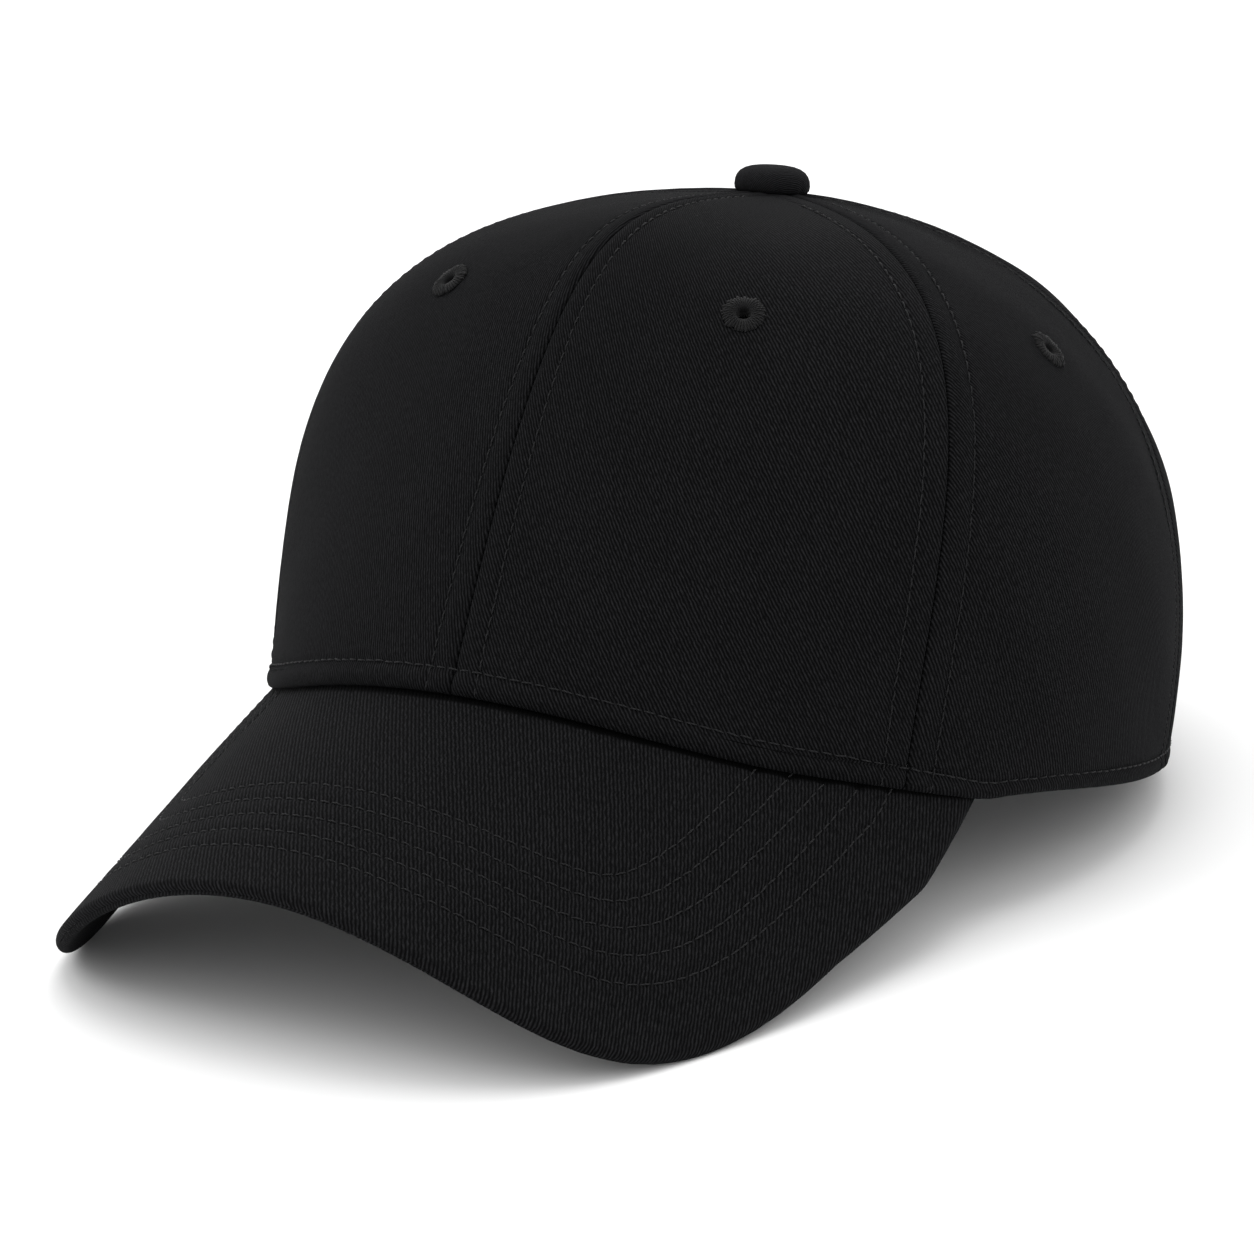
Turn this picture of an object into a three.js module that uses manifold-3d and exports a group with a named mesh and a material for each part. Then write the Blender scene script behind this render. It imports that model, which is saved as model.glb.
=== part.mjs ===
// Six-panel baseball cap with a curved visor, a covered top button, stitched eyelets, an inner
// sweatband and a strap-and-buckle closure across an arched opening at the back.
// Millimetres, +Z up. The cap stands as it does on a table: both visor tips and the back of the
// rim touch z = 0, the visor points along -Y and the wearer's left is +X.
// The shape is drawn in the head frame, whose z = 0 is the plane of the rim; the whole head frame
// is then pitched so that the front of the rim lifts.

import * as THREE from "three";
import { mergeVertices } from "three/addons/utils/BufferGeometryUtils.js";
import Module from "manifold-3d";

const wasm = await Module();
wasm.setup();

// ---------------------------------------------------------------- driving dimensions
const RAD = Math.PI / 180;
const GAP = 0.3; // clearance between pieces that lie on each other

const PITCH = 9.57; // degrees the rim plane lifts at the front

// Rim oval: front and back arcs of one radius, joined by flatter side arcs.
const RIM_HALF_LENGTH = 102;
const RIM_HALF_WIDTH = 91;
const RIM_ARC_R = 84;

// Crown meridians are cubic curves; each list holds the value at 0, 60, 120 and 180 degrees
// of azimuth, measured from the front.
const CROWN_HEIGHT = 114;
const APEX_BACK = 9; // the apex sits this far behind the middle of the rim
const BULGE = [-0.32, 0.01, 0.15, 0.15]; // outward reach of the lower handle, per radius
const RISE = [1.06, 0.54, 0.97, 0.82]; // height of the lower handle, per crown height
const SHOULDER = [0.52, 1.0, 0.2, 0.2]; // reach of the upper handle, per radius

// Panel seams: azimuth at the rim and its change up to the apex.
const SIDE_SEAM = { rim: 54, turn: 13 };
const BACK_SEAM = { rim: 113.5, turn: 4.5 };
const PANEL_TOP_R = 4.2; // panels stop this far from the apex, under the button

// Layers of the crown wall, as depth below the outer face.
const PANEL_T = 1.0;
const LINING = { from: 1.4, to: 2.05 }; // buckram, and tapes behind bare panels
const BUCKRAM_TOP = 0.88; // place along the meridian
const REAR_TAPE = { from: 1.6, to: 2.2 }; // arch tape and rear tape, clear of the strap
const TAPE_DEEP = { from: 2.4, to: 3.05 }; // tapes behind buckram
const PAD = { from: 3.4, to: 4.8 };
const BAND = { from: 5.2, to: 6.0 };
const TAPE_W = 11;
const TAPE_TOP_R = 12.4;
const BAND_LIFT = 1.2; // the band's lower edge sits above the rim
const BAND_H = 33;
const BAND_END = 31.5; // degrees from the back, about the back arc's centre

// Visor: a sheet bent over a slightly conical arch. s runs across it, v runs forward.
const VISOR_ARCH_R = 96.1;
const VISOR_CONE = -0.353; // change of arch radius per millimetre forward
const VISOR_SLOPE = 22.9; // degrees the middle of the visor falls forward
const VISOR_ROOT_Z = 17.7; // mid surface at the front of the rim
const VISOR_HALF_W = 95.6;
const VISOR_REACH = 69.4;
const VISOR_CORNER_V = -41.6; // the outer edge runs straight back behind this line
const VISOR_EDGE_POWERS = [3.17, 4.08];
const VISOR_HALF_T = 1.7;
const CORNER_DIP = 4.3; // the corners are drawn down where they run into the rim
const DIP_FROM = 70; // the dip starts this far from the middle line
const DIP_SPAN = 22;
const VISOR_BACK_V = -50; // full dip this far behind the front of the rim
const VISOR_CLOTH_T = 0.6;
const VISOR_END = 65.5; // azimuth of the visor's corners on the rim
const VISOR_TUCK = 2.2; // the visor reaches this far inside the crown's outer face
const VISOR_RAY_V = -30; // columns fan out from this point of the flat pattern
const DRAW_FROM = 1.56; // ray of the flat pattern, radians, past which the edge draws in to the crown
const DRAW_RATE = 9.3; // millimetres of draw per radian beyond the soft start
const DRAW_SOFT = 0.03; // radians over which the draw sets in
const RIM_GAP = 0.6; // crown hem above the visor

// Eyelets.
const EYELET_T = 0.525; // place along the meridian
const EYELET_HOLE_R = 1.3;
const EYELET_BARREL_R = 2.3;
const EYELET_FLANGE_R = 4.65;
const EYELET_CUT_R = 2.65;

// Button.
const BUTTON_R = 7.75;
const BUTTON_H = 5.4;

// Back opening.
const ARCH_HALF_W = 41;
const ARCH_H = 50;
const ARCH_TAPE_W = 9;

// Closure: everything is an arc about the centre of the back arc.
const STRAP = { inner: 80.4, outer: 81.6, low: 4, high: 24, right: -46.5, left: 46 };
const TAB = { low: 5, high: 23, outer: [79.2, 80.1], inner: [76.8, 77.6], left: 44, fold: 23.75 };
const FRAME = { inner: 77.9, outer: 78.9, right: 8.4, left: 25.5, low: 2.3, high: 25.7 };
const FRAME_SLOT = { right: 21.6, left: 23.95, margin: 1.9 };
const EAR_T = 1.3;
const EAR_HALF_W = 2.4;
const PIN = { at: 12, r: 1.0, radius: 84.0, bore: 1.08 };
const LEVER = { low: 3.9, high: 24.1, inner: 82.0, outer: 83.2, knuckle: 2.0, tip: 22.6 };

// ---------------------------------------------------------------- materials
const cloth = (color, roughness) =>
  new THREE.MeshStandardMaterial({ color, roughness, metalness: 0 });
const brass = () =>
  new THREE.MeshStandardMaterial({ color: 0x6b5a3a, roughness: 0.42, metalness: 1 });
const plastic = (color) => new THREE.MeshStandardMaterial({ color, roughness: 0.6, metalness: 0 });
const TWILL = 0x16171a;
const THREAD = 0x1c1d20;
const TAPE = 0x131416;
const BUCKRAM = 0x2a2b2e;

// ---------------------------------------------------------------- solids
// Turns a closed geometry so that its faces point outwards.
function facingOut(geometry) {
  const p = geometry.attributes.position;
  const index = geometry.index.array;
  const [a, b, c] = [new THREE.Vector3(), new THREE.Vector3(), new THREE.Vector3()];
  let volume = 0;
  for (let i = 0; i < index.length; i += 3) {
    a.fromBufferAttribute(p, index[i]);
    b.fromBufferAttribute(p, index[i + 1]);
    c.fromBufferAttribute(p, index[i + 2]);
    volume += a.dot(b.cross(c));
  }
  if (volume < 0)
    for (let i = 0; i < index.length; i += 3)
      [index[i + 1], index[i + 2]] = [index[i + 2], index[i + 1]];
  geometry.computeVertexNormals();
  return geometry;
}

// A geometry with its shared vertices merged, ready to be a solid.
function welded(geometry) {
  geometry.deleteAttribute("normal");
  geometry.deleteAttribute("uv");
  return mergeVertices(geometry, 1e-4);
}

// A subdivided box whose three unit coordinates are carried onto a curved wall. The squares of
// its back face are split along the same diagonals as those of its front face, so walls laid
// over each other keep their clearance.
function wall(nu, nv, nw, place) {
  const box = new THREE.BoxGeometry(1, 1, 1, nu, nv, nw);
  const back = box.groups[5];
  const index = box.index.array;
  for (let i = back.start; i < back.start + back.count; i += 6) {
    const [a, b, d, c] = [index[i], index[i + 1], index[i + 2], index[i + 4]];
    index.set([a, b, c, a, c, d], i);
  }
  const geometry = welded(box);
  const p = geometry.attributes.position;
  for (let i = 0; i < p.count; i++) {
    const q = place(p.getX(i) + 0.5, p.getY(i) + 0.5, p.getZ(i) + 0.5);
    p.setXYZ(i, q.x, q.y, q.z);
  }
  return facingOut(geometry);
}

function toSolid(geometry) {
  return new wasm.Manifold(
    new wasm.Mesh({
      numProp: 3,
      vertProperties: new Float32Array(geometry.attributes.position.array),
      triVerts: new Uint32Array(geometry.index.array),
    }),
  );
}

function toGeometry(solid) {
  const m = solid.getMesh();
  const geometry = new THREE.BufferGeometry();
  geometry.setAttribute("position", new THREE.BufferAttribute(m.vertProperties, 3));
  geometry.setIndex(new THREE.BufferAttribute(m.triVerts, 1));
  geometry.computeVertexNormals();
  return geometry;
}

const cut = (geometry, tools) =>
  toGeometry(tools.reduce((left, tool) => left.subtract(toSolid(tool)), toSolid(geometry)));

// A flat outline in x, y carried up from z = low to z = high.
function upright(points, low, high) {
  const extrude = new THREE.ExtrudeGeometry(new THREE.Shape(points), {
    depth: high - low,
    bevelEnabled: false,
  });
  extrude.translate(0, 0, low);
  return facingOut(welded(extrude));
}

function rod(r, low, high, sides) {
  const g = new THREE.CylinderGeometry(r, r, high - low, sides);
  g.rotateX(Math.PI / 2);
  g.translate(0, 0, (low + high) / 2);
  return facingOut(welded(g));
}

// A ring or dome turned about z; the profile is a list of [radius, height].
function turned(profile, sides) {
  const g = new THREE.LatheGeometry(
    profile.map(([r, h]) => new THREE.Vector2(r, h)),
    sides,
  );
  g.rotateX(Math.PI / 2);
  return facingOut(welded(g));
}

// ---------------------------------------------------------------- rim and crown
const ARC_CENTRE = RIM_HALF_LENGTH - RIM_ARC_R; // back arc centre is at y = +ARC_CENTRE
const SIDE_STEP = RIM_HALF_WIDTH - RIM_ARC_R;
const SIDE_CENTRE = (ARC_CENTRE ** 2 - SIDE_STEP ** 2) / (2 * SIDE_STEP);
const SIDE_R = RIM_HALF_WIDTH + SIDE_CENTRE;
const TANGENT = (() => {
  const k = SIDE_R / Math.hypot(SIDE_CENTRE, ARC_CENTRE);
  return Math.atan2(SIDE_CENTRE * k - SIDE_CENTRE, ARC_CENTRE * k);
})();

// Distance from the middle of the rim to the oval at an azimuth in radians (0 is the front).
function rimRadius(phi) {
  let q = Math.abs(phi);
  if (q > Math.PI / 2) q = Math.PI - q;
  const [sin, cos] = [Math.sin(q), Math.cos(q)];
  return q < TANGENT
    ? ARC_CENTRE * cos + Math.sqrt(RIM_ARC_R ** 2 - (ARC_CENTRE * sin) ** 2)
    : -SIDE_CENTRE * sin + Math.sqrt(SIDE_R ** 2 - (SIDE_CENTRE * cos) ** 2);
}

// Smooth periodic curve through the values at 0, 60, 120 and 180 degrees.
function around([a, b, c, d], phi) {
  return (
    (a + 2 * b + 2 * c + d) / 6 +
    ((a + b - c - d) / 3) * Math.cos(phi) +
    ((a - b - c + d) / 3) * Math.cos(2 * phi) +
    ((a - 2 * b + 2 * c - d) / 6) * Math.cos(3 * phi)
  );
}

// Point of the visor sheet, h above its mid surface.
function visorPoint(s, v, h) {
  const slope = VISOR_SLOPE * RAD;
  const rho = VISOR_ARCH_R + VISOR_CONE * v;
  const psi = s / rho;
  const drop = rho * (Math.cos(psi) - 1) + h * Math.cos(psi);
  const out = Math.max(0, Math.abs(s) - DIP_FROM) / DIP_SPAN;
  const dip = CORNER_DIP * out * out * Math.max(0, Math.min(1, v / VISOR_BACK_V));
  return new THREE.Vector3(
    (rho + h) * Math.sin(psi),
    -RIM_HALF_LENGTH - v * Math.cos(slope) - drop * Math.sin(slope),
    VISOR_ROOT_Z - v * Math.sin(slope) + drop * Math.cos(slope) - dip,
  );
}

// Flat coordinates of the visor sheet point that lies at plan position x, y.
function visorFlat(x, y, h) {
  const slope = VISOR_SLOPE * RAD;
  let [s, v] = [x, 0];
  for (let i = 0; i < 24; i++) {
    const rho = VISOR_ARCH_R + VISOR_CONE * v;
    const psi = Math.asin(Math.max(-0.98, Math.min(0.98, x / (rho + h))));
    const drop = rho * (Math.cos(psi) - 1) + h * Math.cos(psi);
    s = psi * rho;
    v = (-RIM_HALF_LENGTH - drop * Math.sin(slope) - y) / Math.cos(slope);
  }
  return [s, v];
}

const HEM_HOLD = 1.5; // degrees past the visor's corner where the hem leaves the visor
const hemGap = RIM_GAP / Math.cos(VISOR_SLOPE * RAD);

// Height of the hem above the rim plane at plan position x, y: it lies on the visor at the
// front, then eases down to the rim plane at the back.
function hemHeight(x, y) {
  const azimuth = Math.atan2(Math.abs(x), -y);
  const corner = (VISOR_END + HEM_HOLD) * RAD;
  const r = Math.hypot(x, y);
  const a = Math.min(azimuth, corner);
  const [px, py] = [r * Math.sin(a), -r * Math.cos(a)];
  const [s, v] = visorFlat(px, py, VISOR_HALF_T);
  const top = visorPoint(s, v, VISOR_HALF_T).z + hemGap;
  const past = Math.max(0, Math.min(1, (y - py) / (RIM_HALF_LENGTH - py)));
  return top * (1 - past) ** 3;
}

// Outer face of the crown; t runs from the rim to the apex.
function crownFace(phi, t) {
  const R = rimRadius(phi);
  const z0 = hemHeight(R * Math.sin(phi), -R * Math.cos(phi));
  const u = 1 - t;
  const r =
    R * (u ** 3 + 3 * u * u * t * (1 + around(BULGE, phi)) + 3 * u * t * t * around(SHOULDER, phi));
  const z =
    z0 * u ** 3 +
    CROWN_HEIGHT * (3 * u * u * t * around(RISE, phi) + 3 * u * t * t + t ** 3);
  return new THREE.Vector3(r * Math.sin(phi), -r * Math.cos(phi) + APEX_BACK * t * t, z);
}

const STEP = 1e-3;
function crownNormal(phi, t) {
  const across = crownFace(phi + STEP, t).sub(crownFace(phi - STEP, t));
  const up = crownFace(phi, Math.min(t + STEP, 1)).sub(crownFace(phi, t - STEP));
  return across.cross(up).normalize();
}

// Point of the crown wall at a depth below the outer face.
function crownPoint(phi, t, depth) {
  return crownFace(phi, t).addScaledVector(crownNormal(phi, t), -depth);
}

// Bisection for the zero of a function that grows from low to high.
function solve(f, low, high) {
  for (let i = 0; i < 40; i++) {
    const mid = (low + high) / 2;
    if (f(mid) < 0) low = mid;
    else high = mid;
  }
  return (low + high) / 2;
}

// Meridian place where the wall at this depth stands `lift` above the hem line.
function hemT(phi, depth, lift) {
  const above = (t) => {
    const p = crownPoint(phi, t, depth);
    return p.z - hemHeight(p.x, p.y) - lift;
  };
  return solve(above, -0.05, 0.6);
}

// Meridian place where the outer face is `r` from the apex axis.
function topT(phi, r) {
  const nearer = (t) => {
    const p = crownFace(phi, t);
    return r - Math.hypot(p.x, p.y - APEX_BACK);
  };
  return solve(nearer, 0.5, 0.9999);
}

const seamAt = (seam) => (t) => (seam.rim + seam.turn * t) * RAD;
const SEAMS = {
  front: () => 0,
  side: seamAt(SIDE_SEAM),
  back: seamAt(BACK_SEAM),
  rear: () => Math.PI,
};

// Rows shared by every layer of the crown, so that the facets of neighbouring layers stay
// parallel and keep their clearance.
const LADDER = [0.05, 0.11, 0.17, 0.23, 0.3, 0.37, 0.44, 0.52, 0.6, 0.67, 0.74, 0.81, 0.88, 0.93];
const rowsBelow = (stop) => LADDER.filter((t) => t < stop - 0.03);

// Place on a meridian of row v out of the ladder rows between the hem and the top.
function rowT(v, rows, start, stop) {
  const j = Math.round(v * (rows.length + 1));
  if (j === 0) return start;
  return j > rows.length ? stop : rows[j - 1];
}

// A wall of the crown between two seams, set in from each by `inset` millimetres.
function crownWall({ from, to, side, inset, layer, lift, topAt, nu }) {
  const stops = [from(0.9), to(0.9)].map(topAt);
  const rows = rowsBelow(Math.min(...stops));
  return wall(nu, rows.length + 1, 1, (u, v, w) => {
    const depth = layer.from + (layer.to - layer.from) * w;
    let phi = from(0) + (to(0) - from(0)) * u;
    let t = 0;
    // Azimuth and height depend on each other a little, so they are settled together.
    for (let i = 0; i < 4; i++) {
      const face = crownFace(phi, t);
      const r = Math.max(2, Math.hypot(face.x, face.y - APEX_BACK * t * t));
      const a = from(t) + inset / r;
      const b = to(t) - inset / r;
      phi = a + (b - a) * u;
      t = rowT(v, rows, hemT(side * phi, depth, lift), topAt(phi));
    }
    return crownPoint(side * phi, t, depth);
  });
}

const panelLayer = { from: 0, to: PANEL_T };
const SEAM_HALF_GAP = 0.16;
const PANEL_COLUMNS = 8;
const panel = (from, to, side, nu) =>
  crownWall({
    from, to, side,
    inset: SEAM_HALF_GAP, layer: panelLayer, lift: 0, nu,
    topAt: (phi) => topT(phi, PANEL_TOP_R),
  });

// A tape laid over a seam on the inside; `foot` is its lower end where that isn't the hem.
function seamTape(seam, side, layer, foot) {
  const stop = topT(seam(0.8), TAPE_TOP_R);
  const rows = rowsBelow(stop).filter((t) => foot === undefined || t > foot + 0.03);
  return wall(2, rows.length + 1, 1, (u, v, w) => {
    const depth = layer.from + (layer.to - layer.from) * w;
    const start = foot ?? hemT(side * seam(0), depth, 1.6);
    const t = rowT(v, rows, start, stop);
    const face = crownFace(seam(t), t);
    const r = Math.hypot(face.x, face.y - APEX_BACK * t * t);
    return crownPoint(side * (seam(t) + ((u - 0.5) * TAPE_W) / r), t, depth);
  });
}

// ---------------------------------------------------------------- eyelets
function eyeletPlace(from, to, side) {
  const phi = (side * (from(EYELET_T) + to(EYELET_T))) / 2;
  return { at: crownFace(phi, EYELET_T), out: crownNormal(phi, EYELET_T) };
}

const turnOut = (out) =>
  new THREE.Quaternion().setFromUnitVectors(new THREE.Vector3(0, 0, 1), out);

function eyeletCutter({ at, out }) {
  const tool = rod(EYELET_CUT_R, -5, 4, 20);
  tool.applyQuaternion(turnOut(out));
  return tool.translate(at.x, at.y, at.z);
}

// Ring of satin stitches through the wall: a barrel with a rolled flange on each side.
function eyeletGeometry(wallT) {
  const bite = GAP + 0.35; // the crown curves away under the flat flange
  const inside = -wallT - bite;
  return turned(
    [
      [EYELET_HOLE_R, inside - 0.35],
      [EYELET_BARREL_R, inside - 0.8],
      [EYELET_FLANGE_R - 0.8, inside],
      [EYELET_BARREL_R, inside],
      [EYELET_BARREL_R, bite],
      [EYELET_FLANGE_R, bite],
      [EYELET_FLANGE_R - 0.25, bite + 0.45],
      [EYELET_BARREL_R + 0.4, bite + 0.85],
      [EYELET_HOLE_R, bite + 0.4],
      [EYELET_HOLE_R, inside - 0.35],
    ],
    14,
  );
}

// ---------------------------------------------------------------- visor
const inward = (phi) => rimRadius(phi) - VISOR_TUCK;
const tuckFlat = (phi) => visorFlat(inward(phi) * Math.sin(phi), -inward(phi) * Math.cos(phi), 0);
const rayOf = ([s, v]) => Math.atan2(s, v - VISOR_RAY_V);
const RAY_END = rayOf(tuckFlat(VISOR_END * RAD));

// Inner and outer ends of the column of the flat pattern that leaves at a ray angle.
function visorColumn(ray) {
  const a = Math.abs(ray);
  const phi = solve((q) => rayOf(tuckFlat(q)) - a, 0, 75 * RAD);
  const inner = tuckFlat(phi);
  const [n, m] = VISOR_EDGE_POWERS;
  const reach = solve(
    (d) => {
      const s = d * Math.sin(a) / VISOR_HALF_W;
      const v = VISOR_RAY_V + d * Math.cos(a) - VISOR_CORNER_V;
      return s ** n + Math.max(0, v / (VISOR_REACH - VISOR_CORNER_V)) ** m - 1;
    },
    10, 200,
  );
  const past = Math.max(0, a - DRAW_FROM);
  const drawn = reach - (DRAW_RATE * past * past) / (past + DRAW_SOFT);
  const outer = [drawn * Math.sin(a), VISOR_RAY_V + drawn * Math.cos(a)];
  const side = ray < 0 ? -1 : 1;
  return { inner: [side * inner[0], inner[1]], outer: [side * outer[0], outer[1]] };
}

const VISOR_COLUMNS = 36;
const columns = Array.from({ length: VISOR_COLUMNS + 1 }, (_, i) =>
  visorColumn(RAY_END * ((2 * i) / VISOR_COLUMNS - 1)),
);

// Visor piece whose rows are [fraction of the way out, set-in from the edge, [h of each face]].
function visorPiece(rows) {
  return wall(VISOR_COLUMNS, rows.length - 1, 1, (u, v, w) => {
    const { inner, outer } = columns[Math.round(u * VISOR_COLUMNS)];
    const [fraction, insets, heights] = rows[Math.round(v * (rows.length - 1))];
    const k = Math.round(w);
    const length = Math.hypot(outer[0] - inner[0], outer[1] - inner[1]);
    const along = (length - VISOR_HALF_T) * fraction + (VISOR_HALF_T - insets[k]) * (fraction === 1);
    const s = inner[0] + ((outer[0] - inner[0]) * along) / length;
    const d = inner[1] + ((outer[1] - inner[1]) * along) / length;
    return visorPoint(s, d, heights[k]);
  });
}

const FLAT_ROWS = [0, 0.25, 0.5, 0.75];
const WRAP = [0, 30, 60, 84]; // degrees round the board's edge

function visorCover(side) {
  const out = VISOR_HALF_T;
  const into = VISOR_HALF_T - VISOR_CLOTH_T;
  const flat = FLAT_ROWS.map((f) => [f, [0, 0], [side * into, side * out]]);
  const wrap = WRAP.map((deg) => {
    const [sin, cos] = [Math.sin(deg * RAD), Math.cos(deg * RAD)];
    return [1, [out - into * sin, out - out * sin], [side * into * cos, side * out * cos]];
  });
  return visorPiece([...flat, ...wrap]);
}

function visorBoard() {
  const half = VISOR_HALF_T - VISOR_CLOTH_T - GAP;
  const flat = FLAT_ROWS.map((f) => [f, [0, 0], [-half, half]]);
  const round = [0, 45, 75].map((deg) => {
    const inset = VISOR_HALF_T - half * Math.sin(deg * RAD);
    const h = half * Math.cos(deg * RAD);
    return [1, [inset, inset], [-h, h]];
  });
  return visorPiece([...flat, ...round]);
}

// ---------------------------------------------------------------- back opening and closure
// Point on an arc about the centre of the back arc; degrees run from the back to the left.
function arcPoint(degrees, radius, z) {
  const a = degrees * RAD;
  return new THREE.Vector3(radius * Math.sin(a), ARC_CENTRE + radius * Math.cos(a), z);
}

// Half-moon outline grown by `grow`, from the right foot over the top to the left foot.
function archOutline(grow, angle) {
  return [-(ARCH_HALF_W + grow) * Math.cos(angle), (ARCH_H + grow) * Math.max(0, Math.sin(angle)) ** 0.86];
}

function archCutter() {
  const shape = new THREE.Shape();
  shape.moveTo(-ARCH_HALF_W, -20);
  const steps = 26;
  for (let i = 0; i <= steps; i++) shape.lineTo(...archOutline(0, (Math.PI * i) / steps));
  shape.lineTo(ARCH_HALF_W, -20);
  shape.closePath();
  const g = new THREE.ExtrudeGeometry(shape, { depth: 90, bevelEnabled: false });
  g.rotateX(Math.PI / 2); // shape stands in x, z and runs towards -Y
  g.translate(0, 135, 0);
  return facingOut(welded(g));
}

// Place on the back of the crown wall straight behind x, z.
function onBack(x, z, depth) {
  let [phi, t] = [Math.PI - x / RIM_HALF_LENGTH, z / CROWN_HEIGHT / 2];
  for (let i = 0; i < 12; i++) {
    const p = crownPoint(phi, t, depth);
    const pa = crownPoint(phi + STEP, t, depth).sub(p).divideScalar(STEP);
    const pt = crownPoint(phi, t + STEP, depth).sub(p).divideScalar(STEP);
    const det = pa.x * pt.z - pt.x * pa.z;
    const [ex, ez] = [x - p.x, z - p.z];
    phi += (ex * pt.z - pt.x * ez) / det;
    t += (pa.x * ez - ex * pa.z) / det;
  }
  return crownPoint(phi, t, depth);
}

const ARCH_FOOT = 1.4; // the tape's feet stop this far above the rim plane
function archTape() {
  const grow = 0.8;
  return wall(34, 2, 1, (u, v, w) => {
    const [x, z] = archOutline(grow + ARCH_TAPE_W * v, Math.PI * u);
    const depth = REAR_TAPE.from + (REAR_TAPE.to - REAR_TAPE.from) * w;
    return onBack(x, Math.max(z, ARCH_FOOT), depth);
  });
}

function sweatband(layer, low, high, from, to, nu) {
  return wall(nu, 2, 1, (u, v, w) => {
    const depth = layer.from + (layer.to - layer.from) * w;
    const phi = from + (to - from) * u;
    const p = crownPoint(phi, hemT(phi, depth, low + (high - low) * v), depth);
    // Where the crown swells out above the rim, the band stays upright against the head.
    const r = Math.hypot(p.x, p.y);
    const limit = rimRadius(Math.atan2(p.x, -p.y)) - depth;
    const pull = Math.min(1, limit / r);
    return p.set(p.x * pull, p.y * pull, p.z);
  });
}

const arcWall = ({ right, left, inner, outer, low, high }, nu) =>
  wall(nu, 1, 1, (u, v, w) =>
    arcPoint(right + (left - right) * u, inner + (outer - inner) * w, low + (high - low) * v),
  );

// The same in plan, for outlines.
function arcDot(degrees, radius) {
  const p = arcPoint(degrees, radius, 0);
  return new THREE.Vector2(p.x, p.y);
}

function arcLine(from, to, radius, steps) {
  return Array.from({ length: steps + 1 }, (_, i) =>
    arcDot(from + ((to - from) * i) / steps, radius),
  );
}

// Half circle in the local plane of an arc, from outside to inside over the right-hand side.
function fold(at, radius, r, steps) {
  const c = arcPoint(at, radius, 0);
  const a = at * RAD;
  return Array.from({ length: steps + 1 }, (_, i) => {
    const turn = (Math.PI * i) / steps;
    const outward = r * Math.cos(turn);
    const rightward = -r * Math.sin(turn);
    return new THREE.Vector2(
      c.x + outward * Math.sin(a) + rightward * Math.cos(a),
      c.y + outward * Math.cos(a) - rightward * Math.sin(a),
    );
  });
}

// Cloth tab: one leaf sewn behind the left back panel, folded round the frame's bar.
function closureTab() {
  const [o, i] = [TAB.outer, TAB.inner];
  const middle = (o[1] + i[0]) / 2;
  const tail = 28.6; // the inner leaf ends short of the sweatband
  const outline = [
    ...arcLine(TAB.left, TAB.fold + 0.3, o[1], 8),
    ...fold(TAB.fold, middle, (o[1] - i[0]) / 2, 8),
    ...arcLine(TAB.fold + 0.3, tail, i[0], 3),
    ...arcLine(tail, TAB.fold + 0.3, i[1], 3),
    ...fold(TAB.fold, middle, (o[0] - i[1]) / 2, 6).reverse(),
    ...arcLine(TAB.fold + 0.3, TAB.left, o[0], 8),
  ];
  return upright(outline, TAB.low, TAB.high);
}

// Stamped frame: a curved plate with a slot for the tab and an ear at each edge for the pin.
function buckleFrame() {
  let solid = toSolid(arcWall(FRAME, 8));
  const slot = arcWall(
    {
      right: FRAME_SLOT.right, left: FRAME_SLOT.left,
      inner: FRAME.inner - 2, outer: FRAME.outer + 2,
      low: FRAME.low + FRAME_SLOT.margin, high: FRAME.high - FRAME_SLOT.margin,
    },
    2,
  );
  solid = solid.subtract(toSolid(slot));
  const c = arcDot(PIN.at, PIN.radius);
  const foot = FRAME.inner + 0.4 - PIN.radius;
  const crest = Array.from({ length: 11 }, (_, i) => (Math.PI * i) / 10).map((turn) => [
    EAR_HALF_W * Math.cos(turn),
    EAR_HALF_W * Math.sin(turn),
  ]);
  const ear = [[EAR_HALF_W, foot], ...crest, [-EAR_HALF_W, foot]].map(([x, y]) =>
    new THREE.Vector2(x, y).rotateAround(new THREE.Vector2(), -PIN.at * RAD).add(c),
  );
  for (const [low, high] of [[FRAME.low, FRAME.low + EAR_T], [FRAME.high - EAR_T, FRAME.high]])
    solid = solid.add(toSolid(upright(ear, low, high)));
  const bore = rod(PIN.bore, FRAME.low - 1, FRAME.high + 1, 24).translate(c.x, c.y, 0);
  return toGeometry(solid.subtract(toSolid(bore)));
}

// Lever: a curved plate that ends in a knuckle round the pin and a finger lip.
function buckleLever() {
  const c = arcPoint(PIN.at, PIN.radius, 0);
  const plate = [
    ...arcLine(PIN.at, LEVER.tip, LEVER.inner, 8),
    arcDot(LEVER.tip + 1.2, LEVER.inner + 1.0),
    arcDot(LEVER.tip + 0.9, LEVER.outer + 1.0),
    ...arcLine(LEVER.tip - 0.3, PIN.at, LEVER.outer, 8),
  ];
  const knuckle = rod(LEVER.knuckle, LEVER.low, LEVER.high, 24).translate(c.x, c.y, 0);
  const bore = rod(PIN.bore, LEVER.low - 1, LEVER.high + 1, 24).translate(c.x, c.y, 0);
  const solid = toSolid(upright(plate, LEVER.low, LEVER.high)).add(toSolid(knuckle));
  return toGeometry(solid.subtract(toSolid(bore)));
}

function bucklePin() {
  const c = arcPoint(PIN.at, PIN.radius, 0);
  const overhang = 0.3;
  return rod(PIN.r, FRAME.low - overhang, FRAME.high + overhang, 24).translate(c.x, c.y, 0);
}

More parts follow.
